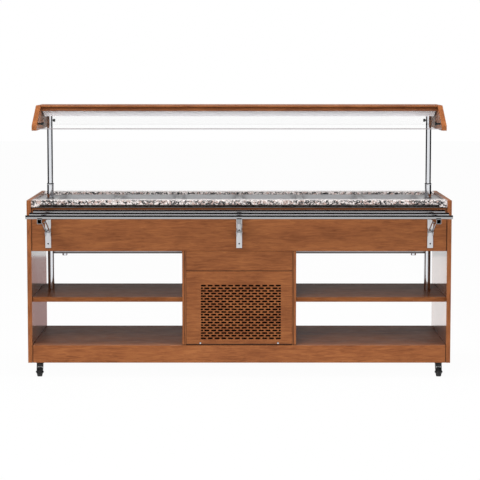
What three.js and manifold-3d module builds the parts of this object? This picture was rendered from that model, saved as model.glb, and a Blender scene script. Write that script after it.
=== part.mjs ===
// A mobile salad bar: a wooden island on four castors with a stone-edged, refrigerated well for
// six gastronorm pans, a lift canopy on two telescopic posts and a folding tray slide in front.
//
// Millimetres, +Z up, +X to the right and -Y towards the guest. The cabinet is centred on X;
// the origin is on the floor, under the middle of the whole outline.
import * as THREE from 'three';
import { mergeGeometries, mergeVertices } from 'three/addons/utils/BufferGeometryUtils.js';
import Module from 'manifold-3d';

const wasm = await Module();
wasm.setup();

// ---------------------------------------------------------------- driving dimensions

// Pans and the well they hang in
const panCount = 6;
const panWidth = 325;            // gastronorm 1/1, laid with its long side front to rear
const panLength = 530;
const panDepth = 150;
const panWall = 1.5;
const panRimWidth = 12;          // flat flange round the mouth
const panDraw = 9;               // how far each wall leans in from mouth to base
const panCorner = 40;
const panFoot = 4.5;               // bend between wall and base
const panGap = 4;                // between the flanges of neighbouring pans
const panEndGap = 2;             // between a flange and the stone in front of it or behind it
const sideDeckWidth = 105;       // steel deck between the end pan and the side panel

// Heights above the floor
const castorHeight = 78;
const plinthHeight = 93;         // base rails, from the castors to the lower shelf's top
const lowerBayHeight = 229;      // clear height over the lower shelf
const upperBayHeight = 224;      // clear height under the well tank
const tankHeight = 273;
const deckSink = 15;             // how far the deck lies below the stone's top

// Boards
const boardThickness = 23;       // side panels
const middleShelfThickness = 24;
const railThickness = 18;        // aprons and base rails
const ventThickness = 16;        // the machine bay's panels
const bayWallThickness = 19;
const boardEdge = 1.2;           // eased edge
const apronRecess = 6;           // apron behind the side panels' front edges
const apronHeight = 228;
const plinthRecess = 3;
const shelfFrontRecess = 22;
const shelfRearRecess = 104;
const bayWidth = 600;            // outside of the machine bay's walls
const bayUpperPanelHeight = 104;
const panelSeam = 1.5;           // between the bay's upper panel and the vent panel
const ventToeGap = 4;            // shadow gap under the vent panel

// Stone rails
const stoneDepth = 108;
const stoneHeight = 37;
const stoneBevel = 14;           // stopped bevel under the outer edge
const stoneBevelStop = 34;       // plain corner left at each end of the bevel
const stoneEdge = 2;             // eased polished edge

// Sheet steel and the tank
const deckSheet = 2;
const deckBearing = 4;           // how far the deck's flange reaches over the apron
const tankWall = 6;
const tankCorner = 12;
const tankOverhang = 2;          // tank beyond the row of pans, at each end
const tankStoneGap = 3;          // tank to the stone rails' inner faces
const drainRadius = 11;
const drainWall = 3;
const drainLength = 10;
const drainInset = 61;           // drain from the tank's end

// Canopy
const canopyRise = 365;          // stone top to the canopy's lower edge
const canopyHeight = 127;
const canopyNose = 26;           // upright part of an end board's front edge
const canopyTopDepth = 320;
const canopyEndThickness = 26;
const canopyEndClearance = 8;    // end boards to the side panels' inner faces
const canopyTravel = 355;
const topBoardThickness = 10;
const canopyRailHeight = 20;
const canopyRailThickness = 18;
const canopyRailSetback = 6;
const canopyRebateHeight = 6;    // shadow gap under the top board's edge
const canopyRebateDepth = 9;
const glassThickness = 5;
const glassNoseInset = 3;
const glassLowerRise = 7;        // glass edge above the end boards' lower edge
const glassUpperDrop = 27;       // glass edge below the canopy's top
const troughDrop = 49;           // lamp trough below the top board
const troughWall = 2;
const troughTopSetback = 4;      // trough to the canopy rails
const troughSlope = 36;          // how far its long sides lean in
const lampRadius = 13;
const lampCapLength = 22;
const lampHeadroom = 8;          // lamp to the trough's roof
const lampEndMargin = 14;        // lamp holders to the posts
const lampHolderLength = 12;

// Posts and sleeves
const postRadius = 15;
const postWall = 2;
const postEndInset = 16;         // post to the canopy's end board
const postEngagement = 210;      // post inside its sleeve with the canopy up
const sleeveWall = 2.1;
const sleeveRise = 67;           // sleeve above the stone's top
const collarHeight = 7;
const collarProud = 1.2;

// Tray slide
const railRadius = 10;
const railWall = 1.5;
const railEndInset = 18;         // rail ends from the side panels' inner faces
const railCount = 3;
const railPitch = 176;
const firstRailReach = 50;       // first rail ahead of the side panels
const railDrop = 55;             // rail centres below the stone's top
const armSize = 25;
const armWall = 2.5;
const armOverhang = 2;           // arm beyond the last rail
const weldDepth = 1;             // rails sunk into the arms at the welds
const outerArmInset = 71;        // outer arms from the rails' ends
const armTail = 7;               // arm behind its pivot
const legWidth = 30;
const legSheet = 2;
const legHeight = 187;
const legFlange = 8;
const legCrown = 2.5;            // how far the leg's pressed front arches out
const legCrownSteps = 6;
const legMouth = 24;             // pressed front starts below the arm pivot
const earDepth = 26;             // ears that carry the pivots
const earHeight = 27;
const strutEarSetback = 4;       // strut ears shallower than the arm ears
const pivotReach = 15;           // arm pivot ahead of the side panels
const strutPivotDrop = 91;       // strut pivot below the arm pivot
const strutPivotReach = 10;
const pivotPinRadius = 3;
const pivotPinProud = 1.5;
const strutReach = 205;          // strut tip ahead of its pivot
const strutWidth = 24;
const strutSheet = 2.5;
const strutDepth = 11;
const strutTipGap = 0.5;         // strut tip under its arm

// Castors
const castorInset = 35;          // swivel axis from the side panels' inner faces
const castorSetback = 50;        // swivel axis behind the front of the cabinet
const castorTrail = 22;
const wheelRadius = 26;
const wheelWidth = 26;
const axleRadius = 3;
const castorPlateSize = 48;
const castorPlateThickness = 3;
const axleNutRadius = 5;
const axleNutLength = 4;
const kingpinRadius = 4;
const kingpinHeadRadius = 7;
const kingpinHeadHeight = 3;
const bossRadius = 11;
const bossHeight = 5;
const forkSheet = 2.5;
const forkHeadRadius = 17;
const forkHeadDepth = 12;        // fork's cheeks under its head
const forkEye = 9;               // fork's cheeks round the axle
const wheelHubRadius = 9;
const wheelDish = 4;
const treadRound = 5;
const treadRim = 8;
const wheelSideGap = 1;
const cornerBlockSize = 62;

// Vent grille
const slotRows = 21;
const slotColumns = 12;
const slotLength = 27;
const slotHeight = 8;
const slotPitchX = 35.9;
const slotPitchZ = 14;
const grilleRise = 33.3;           // panel's lower edge to the first row's centre
const grilleShift = 9;           // grille's centre to the right of the panel's
const rearSlotRows = 8;
const rearSlotPitch = 26;
const rearSlotMargin = 42;       // rear air slots to the panel's middle and edges

// Cooling unit
const compressorRadius = 74;
const compressorHeight = 185;
const compressorBase = 6;        // pot above the floor of its foot
const compressorShoulder = 30;   // rounding at the pot's base
const compressorCrown = 45;      // rounding at the pot's top
const compressorSeamHeight = 78;
const compressorSeamProud = 5;
const compressorFootOverhang = 8;
const compressorFootThickness = 8;
const compressorWallGap = 20;
const compressorRearGap = 40;
const condenserWidth = 290;
const condenserHeight = 250;
const condenserDepth = 55;
const condenserWallGap = 20;
const condenserGrooves = 8;
const condenserGrooveDepth = 18;
const condenserFrame = 13;       // plain edge round the grooves
const condenserFloorGap = 12;
const condenserFootWidth = 20;
const ventAirGap = 60;           // vent panel to condenser
const shroudDepth = 20;
const fanRadius = 100;
const fanTipGap = 8;
const fanBladeCount = 5;
const fanBladeSheet = 2;
const fanBladePitch = 0.42;      // radians
const fanHubRadius = 24;
const fanDepth = 30;
const fanAirGap = 4;             // shroud to fan
const motorAirGap = 6;           // fan to motor
const motorRadius = 34;
const motorLength = 62;
const motorRound = 6;
const motorStrapHeight = 16;
const motorStrapThickness = 3;
const motorPostWidth = 6;
const shaftRadius = 4;
const controlBoxWidth = 70;
const controlBoxDepth = 150;
const controlBoxHeight = 110;
const controlBoxDrop = 60;       // control box below the tank
const controlBoxEdge = 4;

// Clearances
const seatGap = 0.3;             // between pieces that touch
const runningClearance = 0.3;    // shaft in a hole, all round
const slideClearance = 0.4;      // post in sleeve, sleeve through the deck
const panClearance = 2.5;        // pan body in its opening

// ---------------------------------------------------------------- worked-out places

const panPitch = panWidth + panGap;
const wellLength = panCount * panPitch;
const wellDepth = panLength + 2 * panEndGap;
const innerHalf = wellLength / 2 + sideDeckWidth;
const outerHalf = innerHalf + boardThickness;
const depth = wellDepth + 2 * stoneDepth;
const frontY = -depth / 2;
const rearY = depth / 2;
const stoneInnerY = wellDepth / 2;

const shelfTop = castorHeight + plinthHeight;
const middleShelfBottom = shelfTop + lowerBayHeight;
const middleShelfTop = middleShelfBottom + middleShelfThickness;
const tankBottom = middleShelfTop + upperBayHeight;
const deckBottom = tankBottom + tankHeight + seatGap;
const deckTop = deckBottom + deckSheet;
const stoneTop = deckTop + deckSink;
const stoneBottom = stoneTop - stoneHeight;
const flangeTop = stoneBottom - seatGap;
const flangeBottom = flangeTop - deckSheet;
const apronTop = flangeBottom - seatGap;
const apronBottom = apronTop - apronHeight;
const bayHalf = bayWidth / 2;
const bayInnerHalf = bayHalf - bayWallThickness;
const apronOuterY = rearY - apronRecess;
const apronInnerY = apronOuterY - railThickness;
const plinthOuterY = rearY - plinthRecess;
const plinthInnerY = plinthOuterY - railThickness;
const tankHalfX = wellLength / 2 + tankOverhang;
const tankHalfY = stoneInnerY - tankStoneGap;

const canopyBottom = stoneTop + canopyRise;
const canopyTop = canopyBottom + canopyHeight;
const canopyOuterX = innerHalf - canopyEndClearance;
const canopyInnerX = canopyOuterX - canopyEndThickness;
const canopyTopHalf = canopyTopDepth / 2;
const topBoardBottom = canopyTop - topBoardThickness;
const canopyRailOuterY = canopyTopHalf - canopyRailSetback;
const canopyRailInnerY = canopyRailOuterY - canopyRailThickness;
const canopyRailTop = topBoardBottom - seatGap;
const canopyRailBottom = canopyRailTop - canopyRailHeight;
const troughBottom = topBoardBottom - troughDrop;

const postX = canopyInnerX - postEndInset - postRadius;
const sleeveBore = postRadius + slideClearance;
const sleeveRadius = sleeveBore + sleeveWall;
const sleeveTop = stoneTop + sleeveRise;

const railZ = stoneTop - railDrop;
const armTop = railZ - railRadius + weldDepth;
const armZ = armTop - armSize / 2;
const railHalf = innerHalf - railEndInset;
const bracketX = railHalf - outerArmInset;
const trayReach = firstRailReach + (railCount - 1) * railPitch + railRadius + armOverhang;
const armPivotY = frontY - pivotReach;
const strutPivotY = frontY - strutPivotReach;
const strutPivotZ = armZ - strutPivotDrop;
const legTop = armZ + earHeight / 2;
const legFaceY = -apronOuterY - seatGap;

// ---------------------------------------------------------------- finishes

function finish(color, roughness, metalness, opacity = 1) {
  const material = new THREE.MeshStandardMaterial({ color, roughness, metalness });
  material.transparent = opacity < 1;
  material.opacity = opacity;
  return material;
}

const cherryWood = () => finish(0x93593a, 0.45, 0);
const granite = () => finish(0xa69a94, 0.35, 0);
const brushedSteel = () => finish(0xc4c6ca, 0.35, 1);
const brightChrome = () => finish(0xd8dade, 0.12, 1);
const clearPanel = () => finish(0xf4f8f8, 0.05, 0, 0.2);
const blackPaint = () => finish(0x181818, 0.5, 0.2);
const blackRubber = () => finish(0x101010, 0.8, 0);
const darkCasing = () => finish(0x45474a, 0.6, 0.1);
const whitePlastic = () => finish(0xe8e8e6, 0.5, 0);
const lampGlass = () => finish(0xfafaf4, 0.3, 0);

// ---------------------------------------------------------------- shape helpers

function toSolid(geometry) {
  const bare = geometry.clone();
  bare.deleteAttribute('normal');
  bare.deleteAttribute('uv');
  const merged = mergeVertices(bare, 1e-4);
  const mesh = new wasm.Mesh({
    numProp: 3,
    vertProperties: new Float32Array(merged.getAttribute('position').array),
    triVerts: new Uint32Array(merged.getIndex().array),
  });
  return new wasm.Manifold(mesh);
}

function toGeometry(solid) {
  const mesh = solid.getMesh();
  const points = new Float32Array(mesh.vertProperties);
  const corners = new Uint32Array(mesh.triVerts);
  const geometry = new THREE.BufferGeometry();
  geometry.setAttribute('position', new THREE.BufferAttribute(points, 3));
  geometry.setIndex(new THREE.BufferAttribute(corners, 1));
  geometry.computeVertexNormals();
  return geometry;
}

function join(first, ...others) {
  return toGeometry(others.reduce((solid, other) => solid.add(toSolid(other)), toSolid(first)));
}

function cut(body, ...tools) {
  return toGeometry(tools.reduce((solid, tool) => solid.subtract(toSolid(tool)), toSolid(body)));
}

// A closed skin through flat rings of equal point count, each { z, points } with its points
// anticlockwise seen from above. The first ring is capped facing down, the last facing up, so
// rings that climb an outside and descend an inside make an open vessel.
function loft(rings) {
  const count = rings[0].points.length;
  const positions = rings.flatMap(({ z, points }) => points.flatMap(([x, y]) => [x, y, z]));
  const index = [];
  for (let ring = 0; ring < rings.length - 1; ring++) {
    for (let point = 0; point < count; point++) {
      const a = ring * count + point;
      const b = ring * count + (point + 1) % count;
      index.push(a, b, b + count, a, b + count, a + count);
    }
  }
  const last = (rings.length - 1) * count;
  for (let point = 1; point < count - 1; point++) {
    index.push(0, point + 1, point);
    index.push(last, last + point, last + point + 1);
  }
  const geometry = new THREE.BufferGeometry();
  geometry.setAttribute('position', new THREE.Float32BufferAttribute(positions, 3));
  geometry.setIndex(index);
  geometry.computeVertexNormals();
  return geometry;
}

// A rectangle's outline about the origin with its corners cut or rounded.
function rectangle(width, length, corner = 0, steps = 1) {
  const points = [];
  const signs = [[1, 1], [-1, 1], [-1, -1], [1, -1]];
  signs.forEach(([signX, signY], quarter) => {
    const centreX = signX * (width / 2 - corner);
    const centreY = signY * (length / 2 - corner);
    const last = corner > 0 ? steps : 0;
    for (let step = 0; step <= last; step++) {
      const angle = (quarter + (last ? step / last : 0)) * Math.PI / 2;
      points.push([centreX + corner * Math.cos(angle), centreY + corner * Math.sin(angle)]);
    }
  });
  return points;
}

// A board between [low, high] limits on each axis, with eased edges.
function board(x, y, z, edge = boardEdge) {
  const width = x[1] - x[0];
  const length = y[1] - y[0];
  const full = rectangle(width, length, edge);
  const eased = rectangle(width - 2 * edge, length - 2 * edge, edge);
  const geometry = loft([
    { z: z[0], points: eased },
    { z: z[0] + edge, points: full },
    { z: z[1] - edge, points: full },
    { z: z[1], points: eased },
  ]);
  return geometry.translate((x[0] + x[1]) / 2, (y[0] + y[1]) / 2, 0);
}

// A sharp-edged block between limits.
function block(x, y, z) {
  const geometry = new THREE.BoxGeometry(x[1] - x[0], y[1] - y[0], z[1] - z[0]);
  return geometry.translate((x[0] + x[1]) / 2, (y[0] + y[1]) / 2, (z[0] + z[1]) / 2);
}

// An outline of [y, z] points carried along X.
function alongX(outline, x) {
  const shape = new THREE.Shape(outline.map(([y, z]) => new THREE.Vector2(y, z)));
  const geometry = new THREE.ExtrudeGeometry(shape, { depth: x[1] - x[0], bevelEnabled: false });
  const turn = new THREE.Matrix4().set(0, 0, 1, x[0], 1, 0, 0, 0, 0, 1, 0, 0, 0, 0, 0, 1);
  return geometry.applyMatrix4(turn);
}

// A profile of [radius, height] points turned about Z; a tube's profile closes on itself.
function turned(profile, sides) {
  const points = profile.map(([radius, height]) => new THREE.Vector2(radius, height));
  return new THREE.LatheGeometry(points, sides).rotateX(Math.PI / 2);
}

function rod(radius, z, sides = 16) {
  return turned([[0, z[0]], [radius, z[0]], [radius, z[1]], [0, z[1]]], sides);
}

function pipe(outer, inner, z, sides = 16) {
  const profile = [
    [inner, z[0]], [outer, z[0]], [outer, z[1]], [inner, z[1]], [inner, z[0]],
  ];
  return turned(profile, sides);
}

// Turns a piece made along Z so that it lies along X or Y.
const layAlongX = (geometry) => geometry.rotateY(Math.PI / 2);
const layAlongY = (geometry) => geometry.rotateX(Math.PI / 2);

function piece(name, geometry, material) {
  const mesh = new THREE.Mesh(geometry, material);
  mesh.name = name;
  return mesh;
}

const sides = [['left', -1], ['right', 1]];
const span = (a, b) => [Math.min(a, b), Math.max(a, b)];

// ---------------------------------------------------------------- wooden carcass

function sidePanels() {
  return sides.map(([side, sign]) => piece(
    `side_panel_${side}`,
    board(span(sign * innerHalf, sign * outerHalf), [frontY, rearY], [castorHeight, stoneTop]),
    cherryWood(),
  ));
}

const betweenSides = [-innerHalf + seatGap, innerHalf - seatGap];
const castorX = innerHalf - castorInset;
const castorY = rearY - castorSetback;

// The lower shelf, with a glued block at each corner that the castor is screwed to.
function baseBoard() {
  const reachY = plinthInnerY - seatGap;
  const shelf = board(betweenSides, [-reachY, reachY], [shelfTop - railThickness, shelfTop]);
  const blocks = [];
  for (const signX of [-1, 1]) {
    for (const signY of [-1, 1]) {
      const outerY = signY * reachY;
      const innerY = signY * (castorY - cornerBlockSize / 2);
      const x = [signX * castorX - cornerBlockSize / 2, signX * castorX + cornerBlockSize / 2];
      blocks.push(block(x, span(outerY, innerY), [castorHeight, shelfTop - railThickness + 1]));
    }
  }
  return piece('base_board', join(shelf, ...blocks), cherryWood());
}

function baseRails() {
  return [['front', -1], ['rear', 1]].map(([end, sign]) => piece(
    `base_rail_${end}`,
    board(betweenSides, span(sign * plinthInnerY, sign * plinthOuterY), [castorHeight, shelfTop]),
    cherryWood(),
  ));
}

function middleShelves() {
  return sides.map(([side, sign]) => piece(
    `middle_shelf_${side}`,
    board(
      span(sign * (bayHalf + seatGap), sign * (innerHalf - seatGap)),
      [frontY + shelfFrontRecess, rearY - shelfRearRecess],
      [middleShelfBottom, middleShelfTop],
    ),
    cherryWood(),
  ));
}

function aprons() {
  return [['front', -1], ['rear', 1]].map(([end, sign]) => piece(
    `apron_${end}`,
    board(betweenSides, span(sign * apronInnerY, sign * apronOuterY), [apronBottom, apronTop]),
    cherryWood(),
  ));
}

// Each wall is notched at the top, where the well tank passes over it.
function bayWalls() {
  const notchY = tankHalfY + seatGap;
  const notchZ = tankBottom - seatGap;
  const top = apronBottom - seatGap;
  const floor = shelfTop + seatGap;
  const outline = [
    [-plinthOuterY, floor], [plinthOuterY, floor], [plinthOuterY, top], [notchY, top],
    [notchY, notchZ], [-notchY, notchZ], [-notchY, top], [-plinthOuterY, top],
  ];
  return sides.map(([side, sign]) => piece(
    `bay_wall_${side}`,
    alongX(outline, span(sign * bayInnerHalf, sign * bayHalf)),
    cherryWood(),
  ));
}

// ---------------------------------------------------------------- machine bay panels

const ventPanelBottom = shelfTop + ventToeGap;
const ventPanelTop = apronBottom - seatGap - bayUpperPanelHeight - panelSeam;
const ventPanelX = bayInnerHalf - seatGap;
const ventFaceY = -plinthOuterY;
const ventBackY = ventFaceY + ventThickness;

function bayUpperPanel() {
  const z = [ventPanelTop + panelSeam, apronBottom - seatGap];
  return piece(
    'bay_upper_panel',
    board([-ventPanelX, ventPanelX], [ventFaceY, ventBackY], z),
    cherryWood(),
  );
}

// An upright board cut right through with rectangular slots.
function slottedPanel(x, y, z, slots) {
  const openings = slots.map(({ centreX, centreZ, length, height }) => block(
    [centreX - length / 2, centreX + length / 2],
    [y[0] - 1, y[1] + 1],
    [centreZ - height / 2, centreZ + height / 2],
  ));
  return cut(board(x, y, z), mergeGeometries(openings));
}

// Rows of slots laid like brickwork: every second row is shifted by half a pitch and closed
// with a half slot at each end.
function brickSlots() {
  const slots = [];
  const gridHalf = ((slotColumns - 1) * slotPitchX + slotLength) / 2;
  const endLength = slotLength - slotPitchX / 2;
  for (let row = 0; row < slotRows; row++) {
    const centreZ = ventPanelBottom + grilleRise + row * slotPitchZ;
    const shifted = row % 2 === 1;
    const count = shifted ? slotColumns - 1 : slotColumns;
    for (let column = 0; column < count; column++) {
      const centreX = grilleShift + (column - (count - 1) / 2) * slotPitchX;
      slots.push({ centreX, centreZ, length: slotLength, height: slotHeight });
    }
    if (shifted) {
      for (const sign of [-1, 1]) {
        const centreX = grilleShift + sign * (gridHalf - endLength / 2);
        slots.push({ centreX, centreZ, length: endLength, height: slotHeight });
      }
    }
  }
  return slots;
}

function ventPanel() {
  const x = [-ventPanelX, ventPanelX];
  const y = [ventFaceY, ventBackY];
  const z = [ventPanelBottom, ventPanelTop];
  return piece('vent_panel', slottedPanel(x, y, z, brickSlots()), cherryWood());
}

// The service side has one tall panel with long air outlets.
function bayRearPanel() {
  const slots = [];
  const length = ventPanelX - 2 * rearSlotMargin;
  for (let row = 0; row < rearSlotRows; row++) {
    const centreZ = ventPanelBottom + grilleRise + row * rearSlotPitch;
    for (const centreX of [-ventPanelX / 2, ventPanelX / 2]) {
      slots.push({ centreX, centreZ, length, height: slotHeight });
    }
  }
  const x = [-ventPanelX, ventPanelX];
  const y = [plinthOuterY - ventThickness, plinthOuterY];
  const z = [ventPanelBottom, apronBottom - seatGap];
  return piece('bay_rear_panel', slottedPanel(x, y, z, slots), cherryWood());
}

// ---------------------------------------------------------------- stone, deck and tank

// A stone rail over the front or rear apron. The bevel under its outer edge stops short of
// both ends on a slant.
function stoneRail(end, sign) {
  const y = span(sign * stoneInnerY, sign * rearY);
  const slab = board(betweenSides, y, [stoneBottom, stoneTop], stoneEdge);
  const halfLength = innerHalf - stoneBevelStop;
  const spill = 1;
  const reach = stoneBevel + spill;
  const wedge = loft([
    { z: stoneBottom - spill, points: rectangle(2 * halfLength, 2 * reach) },
    { z: stoneBottom + stoneBevel, points: rectangle(2 * (halfLength - reach), 0.02) },
  ]);
  return piece(`stone_rail_${end}`, cut(slab, wedge.translate(0, sign * rearY, 0)), granite());
}

const panCentres = Array.from({ length: panCount }, (_, i) => (i - (panCount - 1) / 2) * panPitch);
const panBodyWidth = panWidth - 2 * panRimWidth;
const panBodyLength = panLength - 2 * panRimWidth;
const panCornerSteps = 2;

// The pressed deck: a sheet with a cut-out for each pan, stepped down at the front and rear
// to a flange that lies on the aprons and carries the stone.
function panDeck() {
  const skirtY = stoneInnerY - seatGap;
  const skirtInnerY = skirtY - deckSheet;
  const flangeY = apronInnerY + deckBearing;
  const section = [
    [-flangeY, flangeBottom], [-skirtInnerY, flangeBottom], [-skirtInnerY, deckBottom],
    [skirtInnerY, deckBottom], [skirtInnerY, flangeBottom], [flangeY, flangeBottom],
    [flangeY, flangeTop], [skirtY, flangeTop], [skirtY, deckTop],
    [-skirtY, deckTop], [-skirtY, flangeTop], [-flangeY, flangeTop],
  ];
  const sheet = alongX(section, betweenSides);
  const openings = panCentres.map((x) => {
    const outline = rectangle(
      panBodyWidth + 2 * panClearance,
      panBodyLength + 2 * panClearance,
      panCorner,
      panCornerSteps,
    );
    const z = [deckBottom - 1, deckTop + 1];
    return loft(z.map((level) => ({ z: level, points: outline }))).translate(x, 0, 0);
  });
  const sleeveHoles = sides.map(([, sign]) => {
    const hole = rod(sleeveRadius + slideClearance, [deckBottom - 1, deckTop + 1]);
    return hole.translate(sign * postX, 0, 0);
  });
  return piece('pan_deck', cut(sheet, ...openings, ...sleeveHoles), brushedSteel());
}

// The insulated tank, open at the top, with a drain spigot under each end.
function wellTank() {
  const outer = rectangle(2 * tankHalfX, 2 * tankHalfY, tankCorner, 2);
  const inner = rectangle(2 * (tankHalfX - tankWall), 2 * (tankHalfY - tankWall), tankCorner, 2);
  const top = deckBottom - seatGap;
  const shell = loft([
    { z: tankBottom, points: outer },
    { z: top, points: outer },
    { z: top, points: inner },
    { z: tankBottom + tankWall, points: inner },
  ]);
  const drainX = tankHalfX - drainInset;
  const drainY = -tankHalfY + 2 * drainRadius;
  const drainEnd = tankBottom - drainLength;
  const spigots = sides.map(([, sign]) => {
    const spigot = rod(drainRadius, [drainEnd, tankBottom + 1], 12);
    return spigot.translate(sign * drainX, drainY, 0);
  });
  const bores = sides.map(([, sign]) => {
    const bore = rod(drainRadius - drainWall, [drainEnd - 1, tankBottom + tankWall + 1], 12);
    return bore.translate(sign * drainX, drainY, 0);
  });
  return piece('well_tank', cut(join(shell, ...spigots), ...bores), darkCasing());
}

// A pressed pan: flange round the mouth, leaning walls and rounded corners.
function pan(number, x) {
  const corner = panCorner - panClearance;
  const ring = (inset, z, radius) => ({
    z,
    points: rectangle(panBodyWidth - 2 * inset, panBodyLength - 2 * inset, radius, panCornerSteps),
  });
  const rimBottom = deckTop + seatGap;
  const rimTop = rimBottom + panWall;
  const base = rimTop - panDepth;
  const inside = corner - panWall;
  const geometry = loft([
    ring(panDraw + panFoot, base, corner - panFoot),
    ring(panDraw, base + panFoot, corner),
    ring(0, rimBottom, corner),
    ring(-panRimWidth, rimBottom, corner + panRimWidth),
    ring(-panRimWidth, rimTop, corner + panRimWidth),
    ring(panWall, rimTop, inside),
    ring(panDraw + panWall, base + panFoot + panWall / 2, inside),
    ring(panDraw + panFoot + panWall, base + panWall, inside - panFoot),
  ]);
  return piece(`pan_${number}`, geometry.translate(x, 0, 0), brushedSteel());
}

// ---------------------------------------------------------------- canopy

// An end board: a trapezoid with a short upright nose at the front and the rear.
function canopyEnds() {
  const half = -frontY;
  const outline = [
    [-half, canopyBottom], [half, canopyBottom], [half, canopyBottom + canopyNose],
    [canopyTopHalf, canopyTop], [-canopyTopHalf, canopyTop], [-half, canopyBottom + canopyNose],
  ];
  return sides.map(([side, sign]) => piece(
    `canopy_end_${side}`,
    alongX(outline, span(sign * canopyInnerX, sign * canopyOuterX)),
    cherryWood(),
  ));
}

const betweenEnds = [-canopyInnerX + seatGap, canopyInnerX - seatGap];

function canopyTopBoard() {
  return piece(
    'canopy_top_board',
    board(betweenEnds, [-canopyTopHalf, canopyTopHalf], [topBoardBottom, canopyTop]),
    cherryWood(),
  );
}

// A rail under each long edge of the top board, rebated along its top outer corner.
function canopyRail(end, sign) {
  const rebateY = canopyRailOuterY - canopyRebateDepth;
  const rebateZ = canopyRailTop - canopyRebateHeight;
  const outline = [
    [canopyRailInnerY, canopyRailBottom], [canopyRailOuterY, canopyRailBottom],
    [canopyRailOuterY, rebateZ], [rebateY, rebateZ],
    [rebateY, canopyRailTop], [canopyRailInnerY, canopyRailTop],
  ];
  return piece(`canopy_rail_${end}`, alongX(facing(sign, outline), betweenEnds), cherryWood());
}

// An outline drawn for the rear, mirrored for the front.
function facing(sign, outline) {
  return sign > 0 ? outline : outline.map(([y, z]) => [-y, z]).reverse();
}

// A clear panel that leans from the rail down to the noses of the end boards, with its upper
// edge cut upright against the rail.
function glassPanel(end, sign) {
  const low = new THREE.Vector2(-frontY - glassNoseInset, canopyBottom + glassLowerRise);
  const high = new THREE.Vector2(canopyRailOuterY + seatGap, canopyTop - glassUpperDrop);
  const along = high.clone().sub(low).normalize();
  const across = new THREE.Vector2(along.y, -along.x).multiplyScalar(glassThickness);
  const upright = glassThickness / -along.x;
  const outline = [
    [low.x, low.y], [low.x + across.x, low.y + across.y],
    [high.x, high.y + upright], [high.x, high.y],
  ];
  return piece(
    `clear_panel_${end}`,
    alongX(facing(sign, outline), betweenEnds),
    clearPanel(),
  );
}

// The steel trough under the top board, open below, with a holder block for each lamp end.
const troughTop = topBoardBottom - seatGap;
const lampZ = troughTop - troughWall - lampHeadroom - lampRadius;
const holderOuterX = postX - postRadius - lampEndMargin;
const holderInnerX = holderOuterX - lampHolderLength;

function lampTrough() {
  const topX = canopyInnerX - seatGap;
  const bottomX = postX + postRadius + troughWall + 1;
  const topY = canopyRailInnerY - troughTopSetback;
  const bottomY = topY - troughSlope;
  const ring = (x, y, z) => ({ z, points: rectangle(2 * x, 2 * y) });
  const shell = loft([
    ring(topX - troughWall, topY - troughWall, troughTop - troughWall),
    ring(bottomX - troughWall, bottomY - troughWall, troughBottom),
    ring(bottomX, bottomY, troughBottom),
    ring(topX, topY, troughTop),
  ]);
  const holders = sides.map(([, sign]) => block(
    span(sign * holderInnerX, sign * holderOuterX),
    [-lampRadius, lampRadius],
    [lampZ - lampRadius, troughTop - troughWall / 2],
  ));
  return piece('lamp_trough', join(shell, ...holders), brushedSteel());
}

function lampTube() {
  const half = holderInnerX - seatGap;
  const glassEnd = half - lampCapLength;
  const profile = [
    [0, -half], [lampRadius, -half], [lampRadius, -glassEnd], [lampRadius - 1, -glassEnd],
    [lampRadius - 1, glassEnd], [lampRadius, glassEnd], [lampRadius, half], [0, half],
  ];
  return piece('lamp_tube', layAlongX(turned(profile, 12)).translate(0, 0, lampZ), lampGlass());
}

function canopyPosts() {
  const z = [sleeveTop - postEngagement, troughTop - troughWall - seatGap];
  return sides.map(([side, sign]) => piece(
    `canopy_post_${side}`,
    pipe(postRadius, postRadius - postWall, z).translate(sign * postX, 0, 0),
    brightChrome(),
  ));
}

// The fixed sleeve runs from the middle shelf up through the deck and ends in a collar.
function postSleeves() {
  const foot = middleShelfTop + seatGap;
  const collarBottom = sleeveTop - collarHeight;
  const collarRadius = sleeveRadius + collarProud;
  const profile = [
    [sleeveBore, foot], [sleeveRadius, foot], [sleeveRadius, collarBottom],
    [collarRadius, collarBottom], [collarRadius, sleeveTop - 1], [collarRadius - 1, sleeveTop],
    [sleeveBore, sleeveTop], [sleeveBore, foot],
  ];
  return sides.map(([side, sign]) => piece(
    `post_sleeve_${side}`,
    turned(profile, 16).translate(sign * postX, 0, 0),
    brightChrome(),
  ));
}

// ---------------------------------------------------------------- tray slide

const brackets = [['left', -bracketX], ['centre', 0], ['right', bracketX]];
const armRearY = armPivotY + armTail;
const armFrontY = frontY - trayReach;
const railPlaces = Array.from({ length: railCount }, (_, i) => (
  frontY - firstRailReach - i * railPitch
));

// Three rails welded on three box arms; each arm turns on a pin in its wall leg. The middle
// arm is closed in front and the outer ones are open.
function traySlide() {
  const rails = railPlaces.map((y) => {
    const rail = rod(railRadius, [-railHalf, railHalf], 14);
    return layAlongX(rail).translate(0, y, railZ);
  });
  const bores = railPlaces.map((y) => {
    const bore = rod(railRadius - railWall, [-railHalf - 1, railHalf + 1], 10);
    return layAlongX(bore).translate(0, y, railZ);
  });
  const arms = brackets.map(([, x]) => block(
    [x - armSize / 2, x + armSize / 2],
    [armFrontY, armRearY],
    [armTop - armSize, armTop],
  ));
  const hollow = armSize / 2 - armWall;
  const armBores = brackets.map(([side, x]) => block(
    [x - hollow, x + hollow],
    [side === 'centre' ? armFrontY + armWall : armFrontY - 1, armRearY + 1],
    [armZ - hollow, armZ + hollow],
  ));
  const pinHoles = brackets.map(([, x]) => {
    const hole = rod(pivotPinRadius + runningClearance, [-armSize, armSize], 8);
    return layAlongX(hole).translate(x, armPivotY, armZ);
  });
  const frame = cut(join(arms[0], ...arms.slice(1)), ...armBores, ...pinHoles);
  return piece('tray_slide', cut(join(frame, ...rails), ...bores), brushedSteel());
}

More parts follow.
